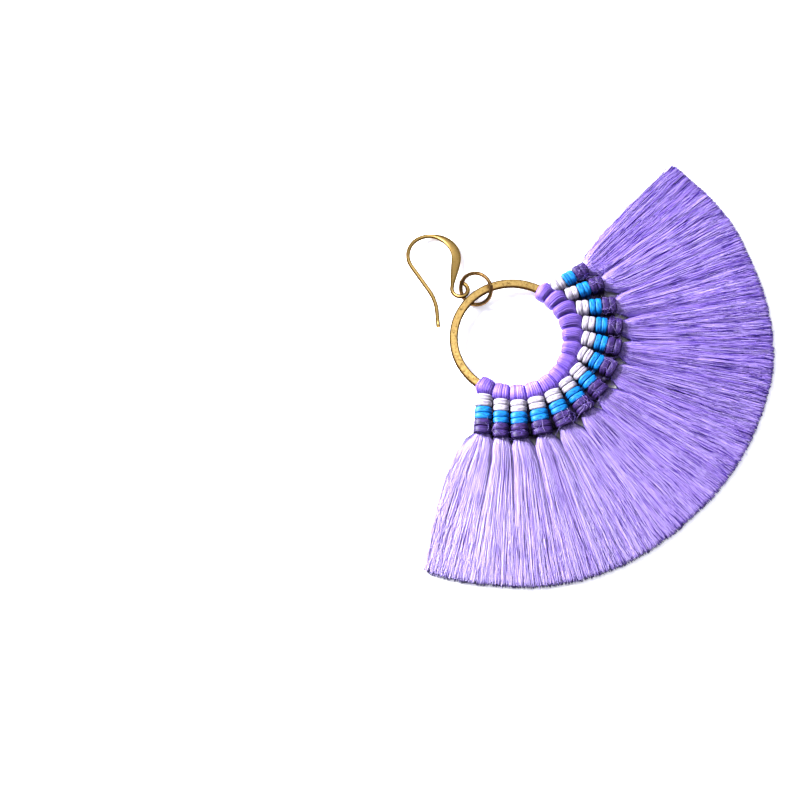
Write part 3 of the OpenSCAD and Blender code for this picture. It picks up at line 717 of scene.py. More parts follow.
# %% Fringe forms
# Distance past the core's end, half of the width, height of the middle, half of
# the thickness, share of the spread that is reached, and squareness of the edge
FRINGE_SECTIONS = np.array([
    (-1.2, 0.50, 2.00, 0.35, 0.00, 0.0),
    (-0.1, 1.00, 2.00, 0.55, 0.00, 0.0),
    (0.2, 1.90, 2.00, 0.85, 0.00, 0.0),
    (0.7, 2.10, 1.96, 1.00, 0.04, 0.1),
    (1.6, 2.25, 1.86, 1.05, 0.24, 0.2),
    (3.2, 2.35, 1.64, 1.05, 0.60, 0.4),
    (5.5, 2.40, 1.38, 0.98, 0.94, 0.6),
    (8.0, 2.40, 1.18, 0.92, 1.00, 0.8),
    (12.0, 2.40, 0.98, 0.82, 1.00, 1.2),
    (20.0, 2.40, 0.82, 0.70, 1.00, 2.5),
    (36.6, 2.40, 0.66, 0.56, 1.00, 4.0),
])
# The threads underneath spread at once, so they close the gaps between the necks
BACK_SPREAD = 0.85
# The threads start inside the knots, this far before the core's end
FRINGE_START = -1.2
CORE_END_R = NECK_R - 0.5
# How far from the hoop's middle each bundle ends
END_R = [CORE_END_R + slack + FRINGE_LENGTH * reach for reach, _, slack in BUNDLES]
# The fan's two outer sides bulge, as nothing presses on them: bundle, side and how far
BULGES = {0: (1, 1.3), COUNT - 1: (-1, 3.2)}
# Grooves between the bundles are deep at the necks and shallow at the cut
NECK_GROOVE, CUT_GROOVE = 0.86, 0.26
# The sheets lie no lower than this above the table
FRINGE_LOW = 0.1


def fringe_sheets(i, columns=15, rows=30):
    """Front and back sheets of bundle i's fringe, and where their rows lie."""
    length = FRINGE_LENGTH * BUNDLES[i][0]
    share = np.linspace(0, 1, rows) ** 1.5 * SHEET_LENGTH
    past = FRINGE_START + (length - FRINGE_START) * share
    stretched = np.where(past > 0, past * FRINGE_LENGTH / length, past)
    half_w, middle_z, half_t, spread, square = (
        np.interp(stretched, FRINGE_SECTIONS[:, 0], FRINGE_SECTIONS[:, k]) for k in range(1, 6)
    )
    r = CORE_END_R + past
    side = np.linspace(-SHEET_REACH, SHEET_REACH, columns)
    near = on_bundle(i, r)[:, None, :] + crosswise(heading(i)) * np.outer(half_w, side)[..., None]
    # The cut edge runs on smoothly from one bundle to the next
    further = np.interp(i - side / 2, range(COUNT), END_R) - END_R[i]
    far_r = r[:, None] + BUNDLES[i][2] + further[None, :] * np.clip(share, 0, None)[:, None]
    right, left = fan_side(i, 1), fan_side(i, -1)
    ray = radial((right + left) / 2 + side * (right - left) / 2)
    far = far_r[..., None] * ray[None]
    # An outer side bulges most a third of the way down, and not at all at its ends
    if i in BULGES:
        way, amount = BULGES[i]
        outer = np.clip(side * way, 0, 1.1) ** 2 * way * amount
        swing = 2.4 * np.sqrt(np.clip(share, 0, 1)) * np.clip(1 - share, 0, 1)
        far = far + crosswise(ray)[None] * (swing[:, None] * outer[None, :])[..., None]
    # The section is round at the neck and squarer further out, where bundles press together
    edge = np.minimum(np.abs(side[None, :]) ** (2 + 5 * square[:, None]), 1.15)
    groove = np.interp(stretched, [6, 22], [NECK_GROOVE, CUT_GROOVE])
    swell = np.sqrt(np.maximum(0.06, 1 - groove[:, None] * edge)) * half_t[:, None]
    spread_behind = np.minimum(1, spread + BACK_SPREAD * np.clip(past / 0.2 + 1, 0, 1))
    sheets = []
    for face, reached in ((1, spread), (-1, spread_behind)):
        flat = near + (far - near) * reached[:, None, None]
        height = np.maximum(FRINGE_LOW, middle_z[:, None] + face * swell)
        sheets.append(np.dstack([flat + HOOP_MIDDLE, height[..., None]]))
    return *sheets, share / SHEET_LENGTH


print("bundles end at, mm from the hoop's middle:", [round(r, 1) for r in END_R])

# %% [markdown]
# Laying the fringe
#
# A thousand threads a bundle is about what the eye can tell apart at this
# size. The first and the last bundle have nothing beside them, so a few of
# their threads stray, which gives the fan its soft outer edges.

# %% Fringe
THREADS = 1050
THREAD_R = 0.000066
fringes = []
for i in range(COUNT):
    piece = lay_threads(
        f"fringe_{i + 1:02d}", add_form(*fringe_sheets(i)), thread,
        Threads=THREADS, Points=9, Radius=THREAD_R, Locks=19.0, Gathering=0.35, Onset=0.9,
        Wander=0.17, Stray=6.0, Spread=1.03, Uneven=0.013, Lip=0.014, Taper=0.2, Crowding=1.7,
        Seed=100 + 10 * i,
    )
    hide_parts(f"tassel_{i + 1:02d}")
    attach(piece, "root")
    fringes.append(piece)
print("fringe triangles a bundle:", triangles(fringes[0]), "in all:", sum(map(triangles, fringes)))

# %% [markdown]
# Loose threads over the fringe
#
# On a worn tassel a few threads lie on top of the others and cross them at a
# slight slant, and more of them stand off at the two ends of the fan. They come
# from the same tree with a small lift and more wander, which is simpler than
# giving every thread of the fringe its own chance to stray.

# %% Loose threads over the fringe
for i in range(COUNT):
    at_end = i in BULGES
    piece = lay_threads(
        f"loose_threads_{i + 1:02d}", add_form(*fringe_sheets(i)), thread,
        Threads=70 if at_end else 30, Points=12, Radius=0.00005,
        Wander=0.8 if at_end else 0.5, Spread=1.12 if at_end else 1.0,
        Stray=2.0, Uneven=0.035, Taper=0.4, Crowding=1.5, Lift=0.35, Seed=2000 + 10 * i,
    )
    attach(piece, "root")
    fringes.append(piece)
print("fringe and loose threads, triangles:", sum(map(triangles, fringes)))

# %% [markdown]
# Loose fibres over the knots
#
# Short ends of thread have worked out between the knots and lie over them,
# most of all on the fan's right half. Single curves could be drawn for them,
# but the same tree lays them at random on a thin form just above the cords,
# from the purple row to the start of the fringe.

# %% Loose fibres over the knots
# Bundles from the fan's right end that have many fibres, and the depth that the fibres fill
FIBRED_BUNDLES = 9
FUZZ_DEPTH = 0.12


def fuzz_sheets(i, columns=5):
    """Two sheets over the last cord of bundle i, which sink to the fringe behind it."""
    r = np.array([21.4, 22.2, 23.2, 24.3, 25.6, 27.0, 29.0])
    side = np.linspace(-SHEET_REACH, SHEET_REACH, columns)
    half_w = np.interp(r, [21.4, 25.0, 29.0], [2.2, 2.4, 3.2])
    flat = on_bundle(i, r)[:, None, :] + crosswise(heading(i)) * np.outer(half_w, side)[..., None]
    rise = np.interp(r, [21.4, 24.3, 25.6, 29.0], [1.85, 2.05, 1.25, 0.9])
    edge = 1 - 0.35 * np.minimum(1, np.abs(side)) ** 4
    sheets = []
    for lift in (FUZZ_DEPTH, 0.0):
        height = MIDDLE_HEIGHT + rise[:, None] * edge[None, :] + lift
        sheets.append(np.dstack([flat + HOOP_MIDDLE, height[..., None]]))
    return sheets


fuzz = []
for i in range(COUNT):
    piece = lay_threads(
        f"knot_fibres_{i + 1:02d}", add_form(*fuzz_sheets(i)), thread,
        Threads=8 if i < FIBRED_BUNDLES else 3, Points=10, Radius=0.00003,
        Wander=2.2, Stray=1.0, Spread=1.0, Uneven=0.4, Taper=0.3, Seed=4000 + 10 * i,
    )
    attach(piece, "root")
    fuzz.append(piece)
print("knot fibres, triangles:", sum(map(triangles, fuzz)))

# %% [markdown]
# Turns round the hoop
#
# Before the knots, the threads of each bundle are folded over the flat hoop, so
# they make a row of plump, satiny cushions with creases between them. A smooth
# ring with a bump would look like plastic from near, so the tree lays real
# turns of thread here too. Under them lies a plain padded body, so that no
# metal shines through.

# %% Cushions
# The cushions' size from the middle of the band: outwards, inwards, and up or down
WRAP_OUT, WRAP_IN, WRAP_HIGH = 1.8, 2.4, 1.62
# The threads fill this depth, and the padded body starts a little above its bottom
THREAD_DEPTH, BODY_DEPTH = 0.16, 0.13
# Room between the padded body and the metal band: sideways, and up or down
BAND_ROOM = (0.12, 0.1)
# Half of a cushion's length is 1, and neighbouring bodies stop just short of each other
BODY_REACH = 0.97
# A cushion is thinner by this share at its two edges
PINCH = 0.5


def boxy(value, power):
    """A sine or cosine with fuller shoulders, for sections between round and square."""
    return np.sign(value) * np.abs(value) ** power


def wrap_section(turn, outward, shrink):
    """Place on the wrap's section, from the band's middle: outwards and up."""
    c = np.cos(turn)
    out = boxy(c, 0.7) * (np.where(c > 0, outward, WRAP_IN) - shrink)
    up = boxy(np.sin(turn), 0.75) * (WRAP_HIGH - shrink)
    return out, up


def angles_between(i, sides):
    """Angles on the hoop across bundle i's cushion, whose two edges are at -1 and 1."""
    right, left = head_side(i, -1), head_side(i, 1)
    return right + (left - right) * (sides + 1) / 2


def wrap_sheet(i, turns, sides, shrink):
    """A sheet round the hoop for bundle i: rows of places round the band."""
    outward = WRAP_OUT + BUNDLES[i][2]
    out, up = wrap_section(turns, outward, shrink)
    plump = 1 - PINCH * np.abs(sides) ** 3.5
    on_hoop = (BAND_R + out)[:, None, None] * radial(angles_between(i, sides))[None]
    lean = np.clip(out / outward, 0, 1)[:, None]
    way = radial(wrap_angle(i)) * (1 - lean) + heading(i) * lean
    across = crosswise(way)[:, None, :] * (knot_half_width(i) * sides[None, :])[..., None]
    at_knot = on_bundle(i, BAND_R + np.maximum(out, 0), False)[:, None, :] + across
    flat = on_hoop + (at_knot - on_hoop) * lean[..., None] ** 1.5
    # Towards its two edges a cushion is also drawn in to the band
    draw = np.where(out < 0, out, 0.2 * out)[:, None] * (1 - plump[None, :]) * 0.35
    flat = flat - way[:, None, :] * draw[..., None]
    height = MIDDLE_HEIGHT + up[:, None] * plump[None, :]
    return np.dstack([flat + HOOP_MIDDLE, height[..., None]])


print("cushions, mm: out", WRAP_OUT, "in", WRAP_IN, "high", WRAP_HIGH)

# %% [markdown]
# The padded body of a cushion
#
# On the real earring more turns of thread lie under the ones that show. They
# would cost many triangles and never be seen, so one closed shell stands for
# them. It is hollow where the hoop passes, so that it never cuts into metal.


# %% Padded bodies
def add_wrap_body(i):
    """The padded body under the threads, hollow where the hoop passes."""
    turns = np.linspace(0, 2 * np.pi, 24, endpoint=False)
    sides = np.linspace(-BODY_REACH, BODY_REACH, 7)
    outer = wrap_sheet(i, turns, sides, BODY_DEPTH)
    r = BAND_R + (BAND_HALF_W + BAND_ROOM[0]) * boxy(np.cos(turns), 0.4)
    z = MIDDLE_HEIGHT + (BAND_HALF_T + BAND_ROOM[1]) * boxy(np.sin(turns), 0.4)
    flat = r[:, None, None] * radial(angles_between(i, sides))[None] + HOOP_MIDDLE
    inner = np.dstack([flat, np.broadcast_to(z[:, None, None], (*flat.shape[:2], 1))])
    points = np.concatenate([outer.reshape(-1, 3), inner.reshape(-1, 3)])
    size = len(turns) * len(sides)
    faces = grid_faces(len(turns), len(sides), closed_rows=True)
    faces += [f[::-1] for f in grid_faces(len(turns), len(sides), size, closed_rows=True)]
    last = len(sides) - 1
    for j in range(len(turns)):
        a, b = j * len(sides), (j + 1) % len(turns) * len(sides)
        faces.append((a, b, size + b, size + a))
        faces.append((b + last, a + last, size + a + last, size + b + last))
    body = add_piece(f"wrap_body_{i + 1:02d}", points, faces, wrapped_thread)
    # Its numbers give the body the painted shade of the lowest threads
    for name, value in (("tone", 0.0), ("lock", 0.1), ("along", 0.5), ("layer", 0.0)):
        give_numbers(body, name, [value] * len(points))
    return body


print("padded bodies lie under the threads' outside by, mm:", BODY_DEPTH)

# %% [markdown]
# The turns of thread
#
# The tree runs once for each bundle, on sheets that go round the hoop instead
# of along the bundle. The turns draw together in a few locks, as thread does
# when it is folded over by hand, and show fine lines across the cushion.

# %% Turns of thread
# The turns stay open on the outer side, where the neck goes on from them
OPENING = 0.2
# Stray turns stop just past the cushion's edge
WRAP_REACH = 1.04
wraps = []
for i in range(COUNT):
    turns = np.linspace(OPENING, 2 * np.pi - OPENING, 34)
    sides = np.clip(np.linspace(-SHEET_REACH, SHEET_REACH, 17), -WRAP_REACH, WRAP_REACH)
    sheets = [wrap_sheet(i, turns, sides, shrink) for shrink in (0.0, THREAD_DEPTH)]
    threads_round = lay_threads(
        f"wrap_{i + 1:02d}", add_form(*sheets), wrapped_thread,
        Threads=110, Points=18, Radius=0.0001,
        Locks=7.0, Gathering=0.45, Onset=0.0, Wander=0.12, Stray=1.0, Spread=1.0, Seed=700 + 10 * i,
    )
    body = add_wrap_body(i)
    for piece in (threads_round, body):
        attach(piece, "root")
    wraps += [threads_round, body]
print("wrap triangles:", sum(map(triangles, wraps)))

# %% [markdown]
# Waxed cords
#
# The cords are twisted from fine strands and waxed. From near they show thin
# lines along their length, painted as lit and shaded strands, painted shade in
# the creases between the strands, and deep painted shade where a cord turns down
# beside its neighbour. A picture of a cord could be laid round the tube, but
# noise that is stretched along the cord stays sharp at any distance. One group
# makes the lines, and each of the three cords uses it with its own colours.

# %% Cord material
# For each cord: its material's name, painted highlights on the strands, the body,
# painted shade in the creases, and how much highlight is painted
CORD_COLOURS = {
    "white_cord": (
        "waxed_white", (0.60, 0.57, 0.67, 1), (0.40, 0.37, 0.46, 1), (0.10, 0.075, 0.15, 1), 0.8,
    ),
    "blue_cord": (
        "waxed_blue", (0.01, 0.31, 0.78, 1), (0.0, 0.16, 0.54, 1), (0.0, 0.015, 0.12, 1), 0.6,
    ),
    "purple_cord": (
        "waxed_purple", (0.105, 0.05, 0.26, 1), (0.024, 0.009, 0.095, 1), (0.003, 0.001, 0.014, 1), 0.55,
    ),
}
GREY = (0.5, 0.5, 0.5, 1)


def make_waxed_group():
    """Painted highlights on strands, painted shade in their creases, and deep shade where the cord dips.
    """
    group, w, given = new_group(
        "waxed_strands",
        {"Light": GREY, "Body": GREY, "Dark": GREY, "Deep": GREY, "PaintedHighlight": 0.6},
        {"Colour": "NodeSocketColor", "Height": "NodeSocketFloat"},
    )
    place = w.add("ShaderNodeCombineXYZ", {
        "X": w.sum("MULTIPLY", w.attribute("around"), 34.0),
        "Y": w.sum("MULTIPLY", w.attribute("run"), 0.8),
    }).outputs[0]
    inputs = {"Vector": place, "Scale": 1.0, "Detail": 3.0, "Roughness": 0.6}
    lines = w.add("ShaderNodeTexNoise", inputs).outputs[0]
    # Painted highlights and painted shade along the strands
    colour = w.blend(w.remap(lines, 0.5, 0.68, 0.0, given["PaintedHighlight"]), given["Body"], given["Light"])
    colour = w.blend(w.remap(lines, 0.5, 0.34, 0.0, 0.75), colour, given["Dark"])
    # Painted shade in the grooves between strands, and deeper painted shade where the cord is dim
    colour = w.blend(w.remap(w.attribute("groove"), 0.45, 1.0, 0.0, 0.9), colour, given["Dark"])
    colour = w.blend(w.sum("MULTIPLY", w.attribute("dim"), 0.9), colour, given["Deep"])
    w.add("NodeGroupOutput", {"Colour": colour, "Height": lines})
    return group


waxed = make_waxed_group()


def make_cord(name, light, body, dark, fuzz):
    """One cord's material. Its deep shade is a darker tone of its creases."""
    material, w, shader = new_material(name)
    deep = (*(0.4 * c for c in dark[:3]), 1)
    # fuzz is the share of painted highlight on the strands
    inputs = {"Light": light, "Body": body, "Dark": dark, "Deep": deep, "PaintedHighlight": fuzz}
    colour, lines = w.add("ShaderNodeGroup", inputs, node_tree=waxed).outputs
    w.put(shader.inputs["Base Color"], colour)
    bump = w.add("ShaderNodeBump", {"Height": lines, "Strength": 0.5, "Distance": 0.00008}).outputs[0]
    w.put(shader.inputs["Normal"], bump)
    shader.inputs["Roughness"].default_value = 0.5
    shader.inputs["Specular IOR Level"].default_value = 0.25
    return material


cord_materials = {cord: make_cord(*colours) for cord, colours in CORD_COLOURS.items()}
print("waxed strands:", len(waxed.nodes), "nodes, in", [m.name for m in cord_materials.values()])

# %% [markdown]
# Knots in front, slants behind
#
# The real knot is tied by hand round each bundle in turn. The cord goes twice
# round the bundle, slants to the next turn behind it, and steps to the next
# bundle, so two flat ribs a knot show in front. A cloth simulation could pull
# such knots tight, but it is slow and hard to steer. Here the path of the
# cord's middle is worked out knot by knot. The tube along it is a rounded
# square, as the cord is pressed against its neighbours, and carries nine
# strands that twist slowly and waver a little.

# %% Knots
STRANDS = 9
# The strands' turn in a millimetre of cord, in radians, and how deep the grooves between them are
TWIST, FLUTE_DEPTH = 0.30, 0.11
# How far the cord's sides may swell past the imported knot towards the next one
SWELL = 0.2
# Room between two neighbouring cords once they have swollen, on each side
SWOLLEN_ROOM = 0.02
# The last knots have no neighbour on the outside, and bulge there
LAST_KNOT_SWELL = 1.2
# What a hand-tied knot may differ by: tilt in degrees, and shares of its width and height
HAND_TIED = (5.0, 0.06, 0.05)


def knot_width(i, r, d):
    """Half of the width of the cord's middle line round bundle i, as far as its neighbours let it."""
    beside = [j for j in (i - 1, i + 1) if 0 <= j < COUNT]
    aside = crosswise(heading(i))
    pitches = [abs(float((on_bundle(i, r) - on_bundle(j, r)) @ aside)) for j in beside]
    half = knot_half_width(i, d)
    return max(half, min(half + SWELL, min(pitches) / 2 - SWOLLEN_ROOM)) - d / 2


def hand_tied(i, r):
    """The tilt and the two shares that make knot i of the row at r its own."""
    return np.random.default_rng([i, round(r * 100)]).uniform(-1, 1, 3) * HAND_TIED


def knot_path(i, r, d, rib, turns):
    """Places of the cord's middle at these turns round bundle i."""
    start, way = radial(wrap_angle(i)), heading(i)
    tilt, wide, high = hand_tied(i, r)
    slant = -1 if start[0] * way[1] - start[1] * way[0] > 0 else 1
    angle = np.radians(turns)
    # -1 on the first rib, 1 on the second, and on the way between them behind the bundle
    slanting = -boxy(np.cos(angle - np.pi), 0.35)
    swing = np.where(turns <= 180, -1.0, np.where(turns >= 360, 1.0, slanting))
    swing = swing * (1 - 0.18 * np.cos(angle) ** 4)
    half_t = CORE_HALF_T + GRIP + d / 2
    side = knot_width(i, r, d) * boxy(np.cos(angle), 0.62)
    along = rib / 2 * swing * slant * (1 + wide)
    along = along + side * math.tan(math.radians(tilt)) * np.sin(angle) ** 2
    flat = on_bundle(i, r) + way * along[:, None]
    if i == COUNT - 1:
        side = np.where(side < 0, side * LAST_KNOT_SWELL, side)
    flat = flat + crosswise(way) * side[:, None]
    height = MIDDLE_HEIGHT + half_t * (1 + high) * boxy(np.sin(angle), 0.62)
    return np.column_stack([flat, height])


print("knots a cord:", COUNT, "strands:", STRANDS)

# %% [markdown]
# The cord from knot to knot
#
# The knots of a row are joined to one path, with a short way between them that
# dips below the bundles. The path also says how wide the cord is at each place,
# as it is squeezed where it turns, and how dim it is between two knots.


# %% Cord path
def cord_path(r, d, rib):
    """The whole cord: places, the bundle's way, width along the bundle, and dimness."""
    step = 15
    places, ways, widths, dims = [], [], [], []
    for i in range(COUNT):
        # A knot is one turn and a half, and the cord's two ends reach on round the last bundles
        first = -60 if i == 0 else 0
        final = 600 if i == COUNT - 1 else 540
        turns = np.arange(first, final + 1, step, dtype=float)
        knot = knot_path(i, r, d, rib, turns)
        at_side = np.cos(np.radians(turns)) ** 2
        places += list(knot)
        ways += [heading(i)] * len(knot)
        # Wide in front, squeezed and dim at the sides, and a little dim behind
        widths += list(1.05 - 0.2 * at_side)
        dims += list(np.clip(at_side**7 + (knot[:, 2] < MIDDLE_HEIGHT - 0.3) * 0.2, 0, 1))
        if i < COUNT - 1:
            start, end = knot[-1], knot_path(i + 1, r, d, rib, np.array([0.0]))[0]
            for turn in np.arange(20, 161, 20):
                a = math.radians(turn)
                place = start + (end - start) * (1 - math.cos(a)) / 2
                place[2] -= (CORE_HALF_T + GRIP + d / 2) * math.sin(a)
                places.append(place)
                ways.append(heading(i))
                widths.append(0.85 - 0.15 * math.sin(a))
                dims.append(0.9)
    return np.array(places), np.array(ways), np.array(widths), np.array(dims)


white_r, white_d = ROWS["white_cord"]
print("places on the white cord's path:", len(cord_path(white_r, white_d, white_d + RIB_GAP)[0]))

# %% [markdown]
# The tube along the cord
#
# A curve with a bevel could make the tube, but it would turn as it likes and
# couldn't carry grooves. So the rings are placed one by one, each with one side
# along the bundle, and every point also stores where it lies on the cord and how
# much painted shade it gets, for the waxed finish to read.


# %% Cord tubes
# The two ribs of a knot press on each other and widen by this
RIB_PRESS = 0.03
# No cord lies lower than this above the table
CORD_LOW = 0.03


def add_cord(name, r, d, rib, seed, sides=27):
    """A cord of thickness d through the row of knots at r."""
    places, ways, widths, dims = cord_path(r, d, rib)
    # At each place u points along the bundle, and v stands out from it
    ahead = np.gradient(places, axis=0)
    ahead /= np.linalg.norm(ahead, axis=1)[:, None]
    way = np.column_stack([ways, np.zeros(len(ways))])
    u = way - (way * ahead).sum(1)[:, None] * ahead
    u /= np.linalg.norm(u, axis=1)[:, None]
    v = np.cross(ahead, u)
    # The strands turn with the way along the cord, and a little unevenly
    run = np.concatenate([[0], np.cumsum(np.linalg.norm(np.diff(places, axis=0), axis=1))])
    chance = np.random.default_rng(seed)
    waver = np.interp(run, np.linspace(0, run[-1], 90), chance.uniform(-0.5, 0.5, 90))
    angle = np.arange(sides) * 2 * np.pi / sides
    strand = (angle[None, :] + (TWIST * run + waver)[:, None]) * STRANDS
    groove = 0.5 + 0.5 * np.cos(strand)
    flute = 1 - FLUTE_DEPTH * groove
    along_half = (rib / 2 + RIB_PRESS) * widths[:, None] * flute * boxy(np.cos(angle), 0.45)[None, :]
    out_half = d / 2 * flute * boxy(np.sin(angle), 0.5)[None, :]
    rings = places[:, None, :] + u[:, None, :] * along_half[..., None]
    rings = rings + v[:, None, :] * out_half[..., None]
    rings[..., :2] += HOOP_MIDDLE
    rings[..., 2] = np.maximum(rings[..., 2], CORD_LOW)
    faces = tube_faces(len(places), sides)
    piece = add_piece(name + "_knots", rings.reshape(-1, 3), faces, cord_materials[name])
    give_numbers(piece, "run", np.repeat(run, sides))
    give_numbers(piece, "around", np.tile(np.abs(angle / np.pi - 1), len(places)))
    # The grooves and the dim places get painted shade in the waxed finish
    give_numbers(piece, "groove", groove.ravel())
    give_numbers(piece, "dim", np.repeat(dims, sides))
    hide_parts(name)
    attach(piece, "root")
    print(name, "length", round(float(run[-1])), "mm, triangles", triangles(piece))
    return piece


cords = [
    add_cord(name, r, d, d + RIB_GAP, seed=seed)
    for seed, (name, (r, d)) in enumerate(ROWS.items())
]
print("cord triangles:", sum(map(triangles, cords)))

# %% [markdown]
# Antique brass
#
# The metal is old brass: yellow where fingers rub it and brown in pits, and along
# its edges and at grazing angles a dark reflection is painted in brown. The brown
# could be painted on by hand, but it would then have to be painted again for
# each piece. One group makes the mottling from the object's own coordinates, and
# gives a mask for the brown and a height for the pits. The hoop, the ring and the
# hook each use it with their own values.


# %% Patina
def make_patina_group():
    """A mask for brown patches, and the height of pits and scratches."""
    group, w, given = new_group(
        "patina",
        {"Scale": 900.0, "Amount": 0.5, "Pitting": 0.5},
        {"Brown": "NodeSocketFloat", "Height": "NodeSocketFloat"},
    )
    place = w.add("ShaderNodeTexCoord").outputs["Object"]
    scale = given["Scale"]
    inputs = {"Vector": place, "Scale": scale, "Detail": 5.0, "Roughness": 0.6}
    cloud = w.add("ShaderNodeTexNoise", inputs).outputs[0]
    inputs = {"Vector": place, "Scale": w.sum("MULTIPLY", scale, 3.1), "Detail": 3.0}
    fine = w.add("ShaderNodeTexNoise", inputs).outputs[0]
    inputs = {"Vector": place, "Scale": w.sum("MULTIPLY", scale, 1.3)}
    dents = w.add("ShaderNodeTexVoronoi", inputs, feature="SMOOTH_F1").outputs[0]
    mottled = w.sum("ADD", w.sum("MULTIPLY", cloud, 0.7), w.sum("MULTIPLY", fine, 0.3))
    brown = w.sum("MULTIPLY", w.remap(mottled, 0.47, 0.66), given["Amount"])
    height = w.sum("ADD", w.sum("MULTIPLY", dents, given["Pitting"]), w.sum("MULTIPLY", fine, 0.35))
    w.add("NodeGroupOutput", {"Brown": brown, "Height": height})
    return group


patina = make_patina_group()
print("patina group:", len(patina.nodes), "nodes")

# %% [markdown]
# Three finishes of brass
#
# The hoop is pale and pitted, with a dark reflection painted on its edges. The
# ring is dark and reddish. The ear hook is the cleanest; its sides mirror the
# table, and a dark reflection is painted along them too. All three have a dark
# reflection painted at grazing angles. Each finish could have a tree of its own,
# but they differ only in a few values, and in how they find their edges, so each
# hands over a small function for that.

# %% Brass
BARE_ROUGHNESS, BROWN_ROUGHNESS = 0.3, 0.5


def make_brass(name, yellow, brown, scale, amount, pitting, edge=None):
    """Brass that is brown in patches, with a painted dark reflection at grazing angles and where the
    edge function says.
    """
    material, w, shader = new_material(name)
    inputs = {"Scale": scale, "Amount": amount, "Pitting": pitting}
    mask, height = w.add("ShaderNodeGroup", inputs, node_tree=patina).outputs
    # Painted dark reflection: the brown also shows at grazing angles and on the edges
    facing = w.add("ShaderNodeLayerWeight", {"Blend": 0.5}).outputs["Facing"]
    mask = w.sum("MAXIMUM", mask, w.remap(facing, 0.3, 0.8, 0.0, 0.95))
    if edge is not None:
        mask = w.sum("MAXIMUM", mask, edge(w))
    w.put(shader.inputs["Base Color"], w.blend(mask, yellow, brown))
    w.put(shader.inputs["Roughness"], w.remap(mask, 0.0, 1.0, BARE_ROUGHNESS, BROWN_ROUGHNESS))
    inputs = {"Height": height, "Strength": 0.12 + 0.3 * pitting, "Distance": 0.00006}
    w.put(shader.inputs["Normal"], w.add("ShaderNodeBump", inputs).outputs[0])
    shader.inputs["Metallic"].default_value = 1.0
    shader.inputs["Specular Tint"].default_value = (0.14, 0.09, 0.045, 1)
    return material


def hoop_edge(w):
    """1 near the band's two edges and on its sides, where a dark reflection is painted, from the
    distance to the hoop's middle.
    """
    inputs = {0: from_hoop_middle(w), 1: (1.0, 1.0, 0.0)}
    flat = w.add("ShaderNodeVectorMath", inputs, operation="MULTIPLY").outputs[0]
    off = w.sum("ABSOLUTE", w.sum("SUBTRACT", length_of(w, flat), BAND_R * MM))
    return w.remap(off, 0.52 * MM, 0.85 * MM, 0.0, 0.95)


def hook_edge(w):
    """1 along the sides of the ear hook's wire, where a dark reflection is painted, from the numbers
    that its mesh carries.
    """
    return w.remap(w.attribute("rim"), 0.5, 0.85, 0.0, 0.9)


hoop_brass = make_brass(
    "hoop_brass", (0.37, 0.245, 0.085, 1), (0.07, 0.033, 0.008, 1),
    scale=1300.0, amount=0.85, pitting=0.7, edge=hoop_edge,
)
dark_brass = make_brass(
    "dark_brass", (0.34, 0.19, 0.07, 1), (0.06, 0.026, 0.009, 1),
    scale=1100.0, amount=0.7, pitting=0.3,
)
hook_brass = make_brass(
    "hook_brass", (0.62, 0.40, 0.13, 1), (0.07, 0.035, 0.011, 1),
    scale=700.0, amount=0.3, pitting=0.1, edge=hook_edge,
)
print("brass materials:", hoop_brass.name, dark_brass.name, hook_brass.name)
for name, material in (("hoop_ring", hoop_brass), ("jump_ring", dark_brass)):
    mesh = nodes[name].data
    mesh.materials.clear()
    mesh.materials.append(material)

# %% [markdown]
# The ear hook
#
# The hook is one wire, bent to a shepherd's crook and hammered flat on the
# front of its stem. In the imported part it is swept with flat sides, which show
# as facets in bright metal. A subdivided copy would be rounder but would lose
# its thickness, so the same bends are swept again with more sides and a
# section that follows the hammering.

# %% Hook line
WIRE_R = 0.505
# Radius of the arch, length of the stem, radius of the loop, and the free end's two straights
ARCH_R, STEM, LOOP_R, TAIL, TIP = 5.7, 7.9, 1.92, 7.5, 4.0
# Where the arch ends, in degrees, and the bend between the two straights
ARCH_END, BEND_R, BEND_TURN = 212.0, 12.0, 29.0
# The stem leans back by this many degrees
LEAN = 7.0
# The hammered swell starts at this angle on the arch and takes this share of the stem
SWELL_START, SWELL_ON_STEM = 85.0, 0.85
SWELL_HALF_W, SWELL_HALF_T = 1.175, 0.31
# The swell is hammered towards its outer side, so its middle shifts by this share of what it
# gains in half width
OUTWARDS = 0.4
# The wire's two ends are filed thinner
FILED = 0.72
# Where the loop's middle lies, and how the hook is turned on the table and tilted on the ring
LOOP_PLACE = Vector((3.88939, 30.4784, 1.92378))
HOOK_TURN = (
    Matrix.Rotation(math.radians(-59), 3, "Z")
    @ Matrix.Rotation(math.radians(6.00828), 3, "Y")
    @ Matrix.Rotation(math.radians(-7.40691), 3, "X")
)


